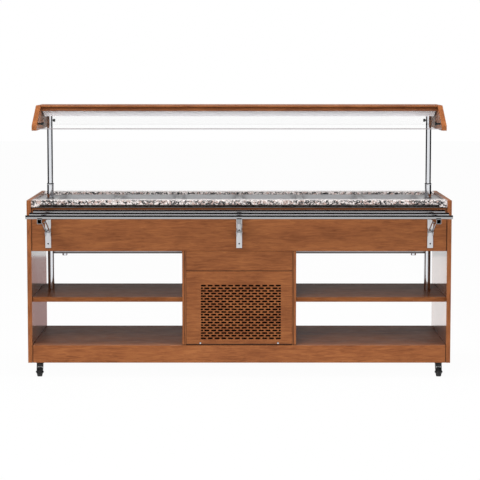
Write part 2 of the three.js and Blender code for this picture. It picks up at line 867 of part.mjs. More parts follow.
// The arched front of a wall leg: a channel with its flanges against the apron.
function legFront(x, z) {
  const arch = (half, reach) => Array.from({ length: legCrownSteps + 1 }, (_, i) => {
    const across = 2 * i / legCrownSteps - 1;
    return [x + half * across, legFaceY - reach - legCrown * (1 - across * across)];
  });
  const outer = legWidth / 2;
  const inner = outer - legSheet;
  const section = [
    [x - outer, legFaceY], ...arch(outer, legFlange), [x + outer, legFaceY],
    [x + inner, legFaceY], ...arch(inner, legFlange - legSheet).reverse(), [x - inner, legFaceY],
  ];
  const shape = new THREE.Shape(section.map(([px, py]) => new THREE.Vector2(px, py)));
  const geometry = new THREE.ExtrudeGeometry(shape, { depth: z[1] - z[0], bevelEnabled: false });
  return geometry.translate(0, 0, z[0]);
}

// A pressed wall leg: an arched front between flanges that widen to ears at the two pivots,
// open above where the arm swings. The pivot pins are riveted in the ears.
function bracketLeg(side, x) {
  const half = legWidth / 2;
  const legBottom = legTop - legHeight;
  const flangeY = legFaceY - legFlange;
  const armEarY = legFaceY - earDepth;
  const armEarZ = legTop - earHeight;
  const strutEarY = armEarY + strutEarSetback;
  const strutEarTop = strutPivotZ + earHeight / 2;
  const strutEarBottom = strutEarTop - earHeight;
  const outline = [
    [legFaceY, legBottom], [legFaceY, legTop], [armEarY, legTop],
    [armEarY, armEarZ], [flangeY, armEarZ - legFlange],
    [flangeY, strutEarTop + legFlange], [strutEarY, strutEarTop],
    [strutEarY, strutEarBottom], [flangeY, strutEarBottom - legFlange],
    [flangeY, legBottom],
  ];
  const mouth = armZ - legMouth;
  const front = legFront(x, [legBottom, mouth]);
  const web = block([x - half, x + half], [legFaceY - legSheet, legFaceY], [mouth, legTop]);
  const flanges = sides.map(([, sign]) => (
    alongX(outline, span(x + sign * half, x + sign * (half - legSheet)))
  ));
  const pins = [[armPivotY, armZ], [strutPivotY, strutPivotZ]].map(([y, z]) => {
    const pin = rod(pivotPinRadius, [-half - pivotPinProud, half + pivotPinProud], 8);
    return layAlongX(pin).translate(x, y, z);
  });
  return piece(`bracket_leg_${side}`, join(front, web, ...flanges, ...pins), brushedSteel());
}

// The strut: a stirrup of two cheeks that turn on the leg's pin and meet in a rounded tip
// under the arm.
const strutLift = armTop - armSize - strutTipGap - strutPivotZ - strutDepth / 2;
const strutLength = Math.hypot(strutReach, strutLift);
const strutAngle = Math.atan2(strutLift, strutReach);

function strut(side, x) {
  const radius = strutDepth / 2;
  const half = strutWidth / 2;
  const outline = [];
  const steps = 5;
  for (let step = 0; step <= steps; step++) {
    const angle = -Math.PI / 2 + Math.PI * step / steps;
    outline.push([radius * Math.cos(angle), radius * Math.sin(angle)]);
  }
  for (let step = 0; step <= steps; step++) {
    const angle = Math.PI / 2 + Math.PI * step / steps;
    outline.push([-strutLength + radius * Math.cos(angle), radius * Math.sin(angle)]);
  }
  const body = alongX(outline, [-half, half]);
  const inner = half - strutSheet;
  const window = block(
    [-inner, inner],
    [-strutLength + 2 * radius, 2 * radius],
    [-strutDepth, strutDepth],
  );
  const hole = layAlongX(rod(pivotPinRadius + runningClearance, [-strutWidth, strutWidth], 8));
  const mesh = piece(`strut_${side}`, cut(body, window, hole), brushedSteel());
  mesh.position.set(x, strutPivotY, strutPivotZ);
  mesh.rotation.x = -strutAngle;
  return mesh;
}

// ---------------------------------------------------------------- castors

const forkHeadTop = castorHeight - castorPlateThickness - bossHeight - 2 * seatGap;
const forkHeadBottom = forkHeadTop - forkSheet;

// Mounting plate with its boss and riveted kingpin, about the swivel axis.
function castorPlate(name) {
  const half = castorPlateSize / 2;
  const top = castorHeight - seatGap;
  const bottom = top - castorPlateThickness;
  const headTop = forkHeadBottom - seatGap;
  const headBottom = headTop - kingpinHeadHeight;
  const plate = block([-half, half], [-half, half], [bottom, top]);
  const kingpin = turned([
    [0, headBottom], [kingpinHeadRadius, headBottom], [kingpinHeadRadius, headTop],
    [kingpinRadius, headTop], [kingpinRadius, bottom - bossHeight],
    [bossRadius, bottom - bossHeight], [bossRadius, bottom + 1], [0, bottom + 1],
  ], 8);
  return piece(`${name}_plate`, join(plate, kingpin), blackPaint());
}

// Pressed fork with its axle bolt; the wheel trails towards the front.
function castorFork(name) {
  const innerX = wheelWidth / 2 + wheelSideGap;
  const outerX = innerX + forkSheet;
  const head = rod(forkHeadRadius, [forkHeadBottom, forkHeadTop], 14);
  const cheekFront = -castorTrail - forkEye;
  const cheekRear = -castorTrail + forkEye;
  const cheekTopY = forkHeadRadius - treadRound;
  const eyeBottom = wheelRadius - forkEye;
  const cheek = [
    [cheekTopY, forkHeadTop], [-forkHeadRadius, forkHeadTop],
    [cheekFront, wheelRadius + forkEye / 2], [cheekFront, wheelRadius - forkEye / 2],
    [-castorTrail - forkEye / 2, eyeBottom], [-castorTrail + forkEye / 2, eyeBottom],
    [cheekRear, wheelRadius - forkEye / 2], [cheekTopY, forkHeadTop - forkHeadDepth],
  ];
  const cheeks = sides.map(([, sign]) => alongX(cheek, span(sign * innerX, sign * outerX)));
  const axle = layAlongX(rod(axleRadius, [-outerX, outerX], 8));
  const nuts = sides.map(([, sign]) => {
    const length = span(sign * (outerX - 1), sign * (outerX + axleNutLength));
    return layAlongX(rod(axleNutRadius, length, 6));
  });
  const bolt = [axle, ...nuts].map((part) => part.translate(0, -castorTrail, wheelRadius));
  const hole = rod(kingpinRadius + runningClearance, [forkHeadBottom - 1, forkHeadTop + 1], 8);
  return piece(`${name}_fork`, cut(join(head, ...cheeks, ...bolt), hole), blackPaint());
}

function castorWheel(name) {
  const half = wheelWidth / 2;
  const bore = axleRadius + runningClearance;
  const rim = wheelRadius - treadRim;
  const shoulder = wheelRadius - treadRound / 2;
  const profile = [
    [bore, -half], [wheelHubRadius, -half], [rim, -half + wheelDish], [shoulder, -half],
    [wheelRadius, -half + treadRound], [wheelRadius, half - treadRound], [shoulder, half],
    [rim, half - wheelDish], [wheelHubRadius, half], [bore, half], [bore, -half],
  ];
  const wheel = layAlongX(turned(profile, 14)).translate(0, -castorTrail, wheelRadius);
  return piece(`${name}_wheel`, wheel, blackRubber());
}

function castors() {
  const places = [
    ['castor_front_left', -castorX, -castorY], ['castor_front_right', castorX, -castorY],
    ['castor_rear_left', -castorX, castorY], ['castor_rear_right', castorX, castorY],
  ];
  return places.map(([name, x, y]) => {
    const group = new THREE.Group();
    group.position.set(x, y, 0);
    group.add(castorPlate(name), castorFork(name), castorWheel(name));
    return group;
  });
}

// ---------------------------------------------------------------- cooling unit

const unitFloor = shelfTop + seatGap;
const condenserX = -bayInnerHalf + condenserWidth / 2 + condenserWallGap;
const condenserZ = [
  unitFloor + condenserFloorGap,
  unitFloor + condenserFloorGap + condenserHeight,
];
const condenserFrontY = ventBackY + ventAirGap;
const condenserBackY = condenserFrontY + condenserDepth;
const shroudBackY = condenserBackY + shroudDepth;
const fanZ = (condenserZ[0] + condenserZ[1]) / 2;
const fanFrontY = shroudBackY + fanAirGap;
const motorFrontY = fanFrontY + fanDepth + motorAirGap;
const motorBackY = motorFrontY + motorLength;
const strapBackY = motorFrontY + motorStrapThickness;

// Upright grooves across the coil's face.
function coilGrooves() {
  const grooveRun = condenserWidth - 2 * condenserFrame;
  const pitch = grooveRun / condenserGrooves;
  return Array.from({ length: condenserGrooves }, (_, i) => {
    const x = -grooveRun / 2 + (i + 0.5) * pitch;
    return block(
      [x - pitch / 4, x + pitch / 4],
      [condenserFrontY - 1, condenserFrontY + condenserGrooveDepth],
      [condenserZ[0] + condenserFrame, condenserZ[1] - condenserFrame],
    );
  });
}

// The fan motor with its shaft, about the fan's axis.
function fanMotor() {
  const body = layAlongY(turned([
    [0, -motorBackY], [motorRadius - motorRound, -motorBackY],
    [motorRadius, -motorBackY + motorRound], [motorRadius, -motorFrontY - motorRound],
    [motorRadius - motorRound, -motorFrontY], [0, -motorFrontY],
  ], 14));
  const shaft = layAlongY(rod(shaftRadius, [-motorFrontY - 1, -fanFrontY], 8));
  return [body.translate(0, 0, fanZ), shaft.translate(0, 0, fanZ)];
}

// Condenser coil on its feet, with the fan shroud, the motor strap and the motor.
function condenser() {
  const halfX = condenserWidth / 2;
  const coil = block([-halfX, halfX], [condenserFrontY, condenserBackY], condenserZ);
  const feet = sides.map(([, sign]) => block(
    span(sign * halfX, sign * (halfX - condenserFootWidth)),
    [condenserFrontY, shroudBackY],
    [unitFloor, condenserZ[0] + 1],
  ));
  const shroud = block([-halfX, halfX], [condenserBackY - 1, shroudBackY], condenserZ);
  const mouth = layAlongY(rod(fanRadius + fanTipGap, [-shroudBackY - 1, -condenserBackY], 20));
  const strapZ = [fanZ - motorStrapHeight / 2, fanZ + motorStrapHeight / 2];
  const strap = block([-halfX, halfX], [motorFrontY, strapBackY], strapZ);
  const posts = sides.map(([, sign]) => block(
    span(sign * halfX, sign * (halfX - motorPostWidth)),
    [shroudBackY - 1, strapBackY],
    strapZ,
  ));
  const body = join(coil, ...feet, shroud, strap, ...posts);
  const opened = cut(body, mouth.translate(0, 0, fanZ), ...coilGrooves());
  const geometry = join(opened, ...fanMotor());
  return piece('condenser', geometry.translate(condenserX, 0, 0), darkCasing());
}

// Axial fan: pitched blades round a hub that is bored for the motor shaft.
function condenserFan() {
  const hub = rod(fanHubRadius, [0, fanDepth], 14);
  const root = fanHubRadius * 0.75;
  const blades = Array.from({ length: fanBladeCount }, (_, i) => {
    const shape = new THREE.Shape();
    shape.moveTo(root, -root * 0.65);
    shape.quadraticCurveTo(fanRadius * 0.6, -fanRadius * 0.42, fanRadius * 0.97, -fanRadius * 0.2);
    shape.quadraticCurveTo(fanRadius, 0, fanRadius * 0.9, fanRadius * 0.26);
    shape.quadraticCurveTo(fanRadius * 0.6, fanRadius * 0.22, root, root * 0.65);
    const sheet = { depth: fanBladeSheet, bevelEnabled: false, curveSegments: 2 };
    const blade = new THREE.ExtrudeGeometry(shape, sheet);
    blade.translate(0, 0, -fanBladeSheet / 2);
    blade.rotateX(fanBladePitch);
    blade.translate(0, 0, fanDepth / 2);
    return blade.rotateZ(2 * Math.PI * i / fanBladeCount);
  });
  const bore = rod(shaftRadius + runningClearance, [-1, fanDepth + 1], 8);
  const fan = cut(join(hub, ...blades), bore);
  return piece(
    'condenser_fan',
    layAlongY(fan).translate(condenserX, fanFrontY + fanDepth, fanZ),
    blackPaint(),
  );
}

// Hermetic compressor: a welded pot on a foot plate.
function compressor() {
  const radius = compressorRadius;
  const seamRadius = radius + compressorSeamProud;
  const seam = [
    compressorSeamHeight - compressorSeamProud / 2,
    compressorSeamHeight + compressorSeamProud / 2,
  ];
  const pot = turned([
    [0, compressorBase], [radius - compressorShoulder * 0.75, compressorBase],
    [radius, compressorBase + compressorShoulder], [radius, seam[0]], [seamRadius, seam[0]],
    [seamRadius, seam[1]], [radius, seam[1]], [radius, compressorHeight - compressorCrown],
    [radius - compressorCrown / 4, compressorHeight - compressorCrown / 3],
    [radius - compressorCrown, compressorHeight], [0, compressorHeight],
  ], 16);
  const reach = radius + compressorFootOverhang;
  const foot = board([-reach, reach], [-reach * 0.7, reach * 0.7], [0, compressorFootThickness]);
  const x = bayInnerHalf - reach - compressorWallGap;
  const y = plinthInnerY - reach - compressorRearGap;
  return piece('compressor', join(pot, foot).translate(x, y, unitFloor), blackPaint());
}

// Thermostat and terminal housing on the bay's right wall.
function controlBox() {
  const top = tankBottom - controlBoxDrop;
  const wall = bayInnerHalf - seatGap;
  const housing = board(
    [wall - controlBoxWidth, wall],
    [-controlBoxDepth / 2, controlBoxDepth / 2],
    [top - controlBoxHeight, top],
    controlBoxEdge,
  );
  return piece('control_box', housing, whitePlastic());
}

// ---------------------------------------------------------------- assembly

const cabinet = new THREE.Group();
cabinet.add(
  ...sidePanels(),
  baseBoard(),
  ...baseRails(),
  ...middleShelves(),
  ...aprons(),
  ...bayWalls(),
  bayUpperPanel(),
  ventPanel(),
  bayRearPanel(),
  stoneRail('front', -1),
  stoneRail('rear', 1),
  panDeck(),
  wellTank(),
  ...postSleeves(),
);

const coolingUnit = new THREE.Group();
coolingUnit.add(condenser(), condenserFan(), compressor(), controlBox());

const pans = new THREE.Group();
pans.add(...panCentres.map((x, i) => pan(i + 1, x)));

const canopy = new THREE.Group();
canopy.add(
  ...canopyEnds(),
  canopyTopBoard(),
  canopyRail('front', -1),
  canopyRail('rear', 1),
  glassPanel('front', -1),
  glassPanel('rear', 1),
  lampTrough(),
  lampTube(),
  ...canopyPosts(),
);

const traySlideGroup = new THREE.Group();
traySlideGroup.add(
  traySlide(),
  ...brackets.map(([side, x]) => bracketLeg(side, x)),
  ...brackets.map(([side, x]) => strut(side, x)),
);

const saladBar = new THREE.Group();
saladBar.add(cabinet, coolingUnit, pans, canopy, traySlideGroup, ...castors());
saladBar.position.y = trayReach / 2;

export default saladBar;
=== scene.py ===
"""A mobile salad bar, dressed for a product picture.

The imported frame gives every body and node. This file puts finishes on the boards, the stone and
the sheet steel, builds the finer pieces that ride on the same bodies, and sets a pale studio
round them. Lengths are in metres, +Z up, with the guest on the -Y side.
"""

import math

import bmesh
import bpy
from bpy.props import FloatProperty, FloatVectorProperty, IntProperty, PointerProperty
from mathutils import Matrix, Vector


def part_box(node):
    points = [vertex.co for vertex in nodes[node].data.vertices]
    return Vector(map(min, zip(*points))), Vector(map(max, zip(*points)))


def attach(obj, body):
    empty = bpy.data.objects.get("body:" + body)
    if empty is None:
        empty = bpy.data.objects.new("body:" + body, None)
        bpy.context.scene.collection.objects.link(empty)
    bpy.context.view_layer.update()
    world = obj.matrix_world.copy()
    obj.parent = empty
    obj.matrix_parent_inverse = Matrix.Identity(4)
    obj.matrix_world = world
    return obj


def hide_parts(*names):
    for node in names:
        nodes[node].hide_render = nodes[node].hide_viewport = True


bl_info = {
    "name": "Mobile Salad Bar",
    "version": (1, 0, 0),
    "blender": (4, 5, 0),
    "location": "View3D > Sidebar > Salad Bar",
    "description": "Finishes, fine pieces and a studio for a mobile salad bar",
    "category": "Object",
}

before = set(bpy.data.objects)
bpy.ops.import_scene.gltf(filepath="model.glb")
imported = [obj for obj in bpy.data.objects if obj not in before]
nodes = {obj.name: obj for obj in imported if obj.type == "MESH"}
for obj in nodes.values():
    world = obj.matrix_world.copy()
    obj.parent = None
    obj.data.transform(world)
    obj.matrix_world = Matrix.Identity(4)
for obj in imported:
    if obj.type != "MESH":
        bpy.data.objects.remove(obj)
SIDE_SIGNS = (("left", -1), ("right", 1))
SIDES = tuple(side for side, sign in SIDE_SIGNS)
ENDS = ("front", "rear")
BRACKETS = ("left", "centre", "right")
CASTORS = tuple(f"castor_{end}_{side}" for end in ENDS for side in SIDES)
PANS = tuple(sorted(name for name in nodes if name.startswith("pan_") and name != "pan_deck"))

SHARP_ANGLE = 35.0  # degrees between faces from which an edge stays sharp
EASED_ANGLE = 50.0  # degrees between faces from which an edge is eased
SAME_POINT = 1e-7  # made points nearer than this are one
WELD_REACH = 1e-5  # a carried-over node's points nearer than this are one
RELIEF = 0.0002  # depth of the fine bump in metal, stone and plastic


def colour(red, green, blue):
    """A scene-linear colour from 0 to 255 display values."""
    shares = [value / 255 for value in (red, green, blue)]
    return tuple(s / 12.92 if s <= 0.04045 else ((s + 0.055) / 1.055) ** 2.4 for s in shares)


# ------------------------------------------------------------------ settings


def shade(name, description, default):
    return FloatVectorProperty(
        name=name, description=description, subtype="COLOR", size=3, min=0, max=1, default=default
    )


def length(name, description, default):
    return FloatProperty(
        name=name, description=description, default=default, min=0, unit="LENGTH", precision=4
    )


def share(name, description, default):
    return FloatProperty(
        name=name, description=description, default=default, min=0, max=1, subtype="FACTOR"
    )


def power(name, description, default):
    return FloatProperty(name=name, description=description, default=default, unit="POWER")


def glow(name, description, default):
    return FloatVectorProperty(name=name, description=description, size=3, default=default)


class SaladBarWood(bpy.types.PropertyGroup):
    """Cherry laminate on the carcass and the canopy."""

    pale: shade("Pale grain", "Lightest streaks of the laminate", colour(166, 105, 62))
    body: shade("Body", "Main colour of the laminate", colour(141, 85, 50))
    deep: shade("Deep grain", "Darkest streaks of the laminate", colour(108, 60, 35))
    streak: length("Streak length", "Length of a soft grain streak", 0.085)
    pore: length("Pore width", "Width of a fine pore line", 0.0022)
    edge: length("Eased edge", "Radius of a board's eased edge", 0.0012)
    lacquer: share("Lacquer", "Weight of the lacquer on the side panels' flat faces", 0.9)
    bay_lacquer: share("Bay lacquer", "Weight of the lacquer on the bay walls", 0.3)
    sheen: share("Sheen", "Specular level of the satin boards", 0.12)
    shelf_sheen: share("Shelf sheen", "Specular level of the shelves", 0.02)
    # the seams below are drawn as lines of painted shade in the joints
    end_seam_shade: length("End seam", "Half width of the seam at a long board's ends", 0.005)
    bay_seam_shade: length("Bay seam", "Half width of the seams round the bay's panels", 0.003)
    foot_seam_shade: length("Foot seam", "Half width of the seam under the machine bay", 0.006)
    # painted shadow under the counter's edge
    eave_shade: length("Eave shade", "Height of the shade under the counter's edge", 0.05)
    rebate: length("Rebate", "Rebate's line from a bay wall's inner face", 0.0062)
    rebate_shade: length("Rebate seam", "Half width of the rebate's line", 0.0026)


class SaladBarStone(bpy.types.PropertyGroup):
    """Granite of the counter rails."""

    pale: shade("Feldspar", "Palest grains", colour(226, 218, 215))
    blush: shade("Pink feldspar", "Pink grains", colour(188, 164, 156))
    grey: shade("Quartz", "Grey grains", colour(102, 98, 98))
    dark: shade("Mica", "Dark grains", colour(24, 22, 24))
    grain: length("Grain", "Size of a grain", 0.0085)
    edge: length("Polished edge", "Radius of the polished edge", 0.0015)


class SaladBarMetal(bpy.types.PropertyGroup):
    """Steel, chrome and black paint."""

    steel: shade("Stainless steel", "Brushed sheet and bar", colour(204, 204, 206))
    chrome: shade("Chrome", "Bright plating", colour(226, 228, 232))
    black: shade("Black paint", "Castor frames and clamps", colour(15, 15, 16))
    rubber: shade("Rubber", "Wheel treads", colour(17, 17, 18))
    # the tank shell's dark colour is zinc and painted shade
    shell: shade("Tank shell", "Underside of the well tank", colour(96, 88, 86))
    brush: length("Brush line", "Width of a brushed line", 0.0009)
    edge: length("Sheet edge", "Radius of a pressed sheet's eased edge", 0.0005)
    strut_edge: length("Strut edge", "Radius of a strut's eased edge", 0.0006)


class SaladBarVent(bpy.types.PropertyGroup):
    """Slots of the machine bay's vent panel."""

    slot_length: length("Slot length", "Length of a whole slot", 0.027)
    slot_height: length("Slot height", "Height of a slot", 0.0092)
    corner: length("Slot corner", "Corner radius of a slot", 0.0041)
    pitch_x: length("Pitch across", "Distance between slots in a row", 0.0359)
    pitch_z: length("Row pitch", "Distance between rows", 0.014)
    rise: length("First row", "First row above the panel's lower edge", 0.0333)
    shift: length("Shift", "Middle of the slots to the right of the panel's", 0.009)
    end_growth: length("End slots", "Added to the half slots that end a row", 0.0022)
    rows: IntProperty(name="Rows", description="Rows of slots", default=21, min=1)
    columns: IntProperty(name="Columns", description="Slots in a full row", default=12, min=2)


class SaladBarFittings(bpy.types.PropertyGroup):
    """Screws, clamps and collars."""

    screw: length("Bracket screw", "Radius of a bracket's screw head", 0.0042)
    vent_screw: length("Vent screw", "Radius of a vent screw's head", 0.0055)
    screw_rise: length("Vent screw height", "Vent screws above the panel's lower edge", 0.0088)
    screw_spread: length("Vent screw spread", "Vent screws from the panel's middle", 0.205)
    clamp_length: length("Clamp length", "Glass clamp along the glass edge", 0.03)
    clamp_radius: length("Clamp knob", "Radius of a clamp's knob", 0.0085)
    clamp_reach: length("Clamp place", "Clamps in front of and behind the canopy's middle", 0.305)
    rail_radius: length("Rail radius", "Outer radius of a tray rail", 0.010)
    rail_wall: length("Rail wall", "Wall of a tray rail", 0.0015)
    rail_pitch: length("Rail pitch", "Distance between tray rails", 0.176)
    rail_overhang: length("Arm overhang", "Arms beyond the last rail", 0.002)
    arm: length("Arm", "Side of a square tray arm", 0.025)
    arm_wall: length("Arm wall", "Wall of a tray arm", 0.0025)
    arm_corner: length("Arm corner", "Corner radius of a tray arm", 0.003)


class SaladBarStudio(bpy.types.PropertyGroup):
    """Floor, background and lights."""

    floor: shade("Floor", "Colour of the studio floor", colour(228, 228, 228))
    keep: share("Shadow strength", "Share of the floor's own light in the picture", 0.03)
    sky: FloatProperty(name="Room light", description="Strength of the even light", default=0.42)
    key: power("Key", "Power of the front light", 190)
    fill: power("Fill", "Power of the side light", 70)
    top: power("Top", "Power of the overhead light", 130)
    floor_reach: length("Floor reach", "Half length of the floor", 30.0)
    flag_place: length("Flag distance", "Dark flags from the middle of the floor", 5.0)
    flag_reach: length("Flag reach", "Half length of the dark flags", 12.0)
    flag_front: length("Flag front", "Side flags ahead of the middle of the floor", 3.0)
    flag_foot: length("Flag foot", "Side flags above the floor", 0.05)
    flag: shade("Flag", "Colour of the dark flags that bright metal reflects", colour(20, 19, 21))
    card_inner: length("Card inner edge", "Floor cards from the middle line", 0.3)
    card_outer: length("Card outer edge", "Floor cards' far edge from the middle line", 1.4)
    card_front: length("Card front", "Floor cards' front edge behind the bar's middle", 0.66)
    card_rear: length("Card rear", "Floor cards' rear edge behind the bar's middle", 6.0)
    card_rise: length("Card height", "Floor cards above the floor", 0.002)
    card_left: glow("Left card", "Light of the card behind the left bay", (0.5, 0.34, 0.33))
    card_right: glow("Right card", "Light of the card behind the right bay", (1.31, 1.24, 1.22))


class SaladBarCamera(bpy.types.PropertyGroup):
    """The product camera."""

    lens: FloatProperty(name="Lens", description="Focal length in millimetres", default=138.45)
    sensor: FloatProperty(name="Sensor", description="Sensor width in millimetres", default=36)
    distance: length("Distance", "Camera ahead of the side panels", 9.65)
    height: length("Height", "Camera above the floor", 1.6484)
    offset: length("Offset", "Camera to the right of the middle", 0.0043)
    pitch: FloatProperty(
        name="Pitch", description="Downward tilt", default=math.radians(5.436), subtype="ANGLE"
    )


class SaladBarSettings(bpy.types.PropertyGroup):
    """All that a user would change."""

    wood: PointerProperty(type=SaladBarWood)
    stone: PointerProperty(type=SaladBarStone)
    metal: PointerProperty(type=SaladBarMetal)
    vent: PointerProperty(type=SaladBarVent)
    fittings: PointerProperty(type=SaladBarFittings)
    studio: PointerProperty(type=SaladBarStudio)
    camera: PointerProperty(type=SaladBarCamera)


def settings():
    return bpy.context.scene.salad_bar


# ------------------------------------------------------------------ shader writing


SOCKET_NAMES = {
    "base_color": "Base Color",
    "roughness": "Roughness",
    "metallic": "Metallic",
    "alpha": "Alpha",
    "normal": "Normal",
    "specular_ior_level": "Specular IOR Level",
    "coat_weight": "Coat Weight",
    "coat_roughness": "Coat Roughness",
    "emission_color": "Emission Color",
    "emission_strength": "Emission Strength",
}


class Socket:
    """An output socket that takes part in Python arithmetic."""

    def __init__(self, shader, output):
        self.shader = shader
        self.output = output

    def math(self, operation, *values):
        inputs = dict(enumerate(values))
        return self.shader.node("ShaderNodeMath", {"operation": operation}, inputs)

    def __add__(self, other):
        return self.math("ADD", self, other)

    def __radd__(self, other):
        return self.math("ADD", other, self)

    def __sub__(self, other):
        return self.math("SUBTRACT", self, other)

    def __rsub__(self, other):
        return self.math("SUBTRACT", other, self)

    def __mul__(self, other):
        return self.math("MULTIPLY", self, other)

    def __rmul__(self, other):
        return self.math("MULTIPLY", other, self)

    def __pow__(self, other):
        return self.math("POWER", self, other)

    def __abs__(self):
        return self.math("ABSOLUTE", self)

    def greater(self, other):
        """The greater of two values."""
        return self.math("MAXIMUM", self, other)


class NodeTree:
    """A node tree in the making."""

    def __init__(self, tree):
        self.tree = tree

    def node(self, kind, options=None, inputs=None, output=0):
        """Any node: its options first, then the values or links of its sockets."""
        made = self.tree.nodes.new(kind)
        for name, value in (options or {}).items():
            if name == "stops":
                self.set_stops(made.color_ramp, value)
            else:
                setattr(made, name, value)
        for name, value in (inputs or {}).items():
            self.feed(made.inputs[name], value)
        return Socket(self, made.outputs[output])

    def set_stops(self, ramp, stops):
        while len(ramp.elements) < len(stops):
            ramp.elements.new(1.0)
        for element, (position, stop) in zip(ramp.elements, stops):
            element.position = position
            element.color = (*stop, 1.0)

    def feed(self, socket, value):
        if isinstance(value, Socket):
            self.tree.links.new(value.output, socket)
        elif isinstance(value, tuple) and len(socket.default_value) > len(value):
            socket.default_value = (*value, 1.0)
        else:
            socket.default_value = value

    def shown_rays(self):
        """1 for the rays that show the background: the camera's, and those of gloss and glass."""
        kinds = ("Is Camera Ray", "Is Glossy Ray", "Is Transmission Ray")
        shown, *others = [self.node("ShaderNodeLightPath", output=kind) for kind in kinds]
        for ray in others:
            shown = shown.greater(ray)
        return shown


class Shader(NodeTree):
    """A material in the making, with its Principled surface."""

    def __init__(self, name):
        self.material = bpy.data.materials.new(name)
        self.material.use_nodes = True
        super().__init__(self.material.node_tree)
        self.surface = self.tree.nodes["Principled BSDF"]

    def place(self, stretch=(1.0, 1.0, 1.0), shift=(0.0, 0.0, 0.0)):
        """The point on the object in metres, stretched for a directional pattern."""
        point = self.node("ShaderNodeTexCoord", output="Object")
        return self.node(
            "ShaderNodeMapping", inputs={"Vector": point, "Location": shift, "Scale": stretch}
        )

    def coordinate(self, axis):
        """The point's place along one of the object's own axes."""
        return self.node("ShaderNodeSeparateXYZ", inputs={0: self.place()}, output=axis)

    def looking(self, axis):
        """How far a face looks along one of the object's own axes, from -1 to 1."""
        normal = self.node("ShaderNodeTexCoord", output="Normal")
        return self.node("ShaderNodeSeparateXYZ", inputs={0: normal}, output=axis)

    def facing(self, axis):
        """1 on faces that look along the object's own axis either way, 0 on the others."""
        return self.band(abs(self.looking(axis)), 0.8, 0.95)

    def noise(self, point, scale, detail=3.0, roughness=0.5, distortion=0.0):
        return self.node(
            "ShaderNodeTexNoise",
            inputs={
                "Vector": point,
                "Scale": scale,
                "Detail": detail,
                "Roughness": roughness,
                "Distortion": distortion,
            },
        )

    def grains(self, point, scale):
        """A random number for each cell of a crystal pattern."""
        cells = self.node(
            "ShaderNodeTexVoronoi", inputs={"Vector": point, "Scale": scale}, output="Color"
        )
        return self.node("ShaderNodeSeparateColor", inputs={0: cells})

    def ramp(self, value, *stops):
        return self.node("ShaderNodeValToRGB", {"stops": stops}, {"Fac": value})

    def band(self, value, low, high):
        """0 below low, 1 above high, smooth between."""
        return self.node(
            "ShaderNodeMapRange",
            {"interpolation_type": "SMOOTHSTEP"},
            {"Value": value, "From Min": low, "From Max": high},
        )

    def mix(self, factor, first, second):
        """Mixes two colours."""
        return self.node(
            "ShaderNodeMix", {"data_type": "RGBA"}, {0: factor, 6: first, 7: second}, output=2
        )

    def bump(self, height, strength, distance):
        return self.node(
            "ShaderNodeBump", inputs={"Height": height, "Strength": strength, "Distance": distance}
        )

    def finish(self, **sockets):
        """Sets the surface's sockets and gives the material back."""
        for name, value in sockets.items():
            self.feed(self.surface.inputs[SOCKET_NAMES[name]], value)
        return self.material


finishes = {}


def finish(name, *arguments, **options):
    """The finish made by a maker function, made once for each set of arguments."""
    key = (name, arguments, tuple(sorted(options.items())))
    if key not in finishes:
        finishes[key] = MAKERS[name](*arguments, **options)
    return finishes[key]


# ------------------------------------------------------------------ finishes

AXES = {"X": 0, "Y": 1, "Z": 2}
# painted shade in the joints between boards
SEAM_SHADE = (0.03, 0.014, 0.009)
# painted shade inside the vent's slots
SLOT_SHADE = (0.004, 0.003, 0.003)
# painted shade on the granite's downward faces
UNDER_SHADE = (0.004, 0.004, 0.004)
TANK_LINE = (0.014, 0.022)  # from where to where above its foot the tank turns to bright steel; the dark below is partly painted shade


def along_axis(axis, run, across):
    """A stretch that is run along one axis and across on the other two."""
    stretch = [across] * 3
    stretch[AXES[axis]] = run
    return tuple(stretch)


def tinted(stain, factor):
    """A colour times a number."""
    return tuple(value * factor for value in stain)


def lifted(stain, amount):
    """A colour with the same amount added to its three values."""
    return tuple(value + amount for value in stain)


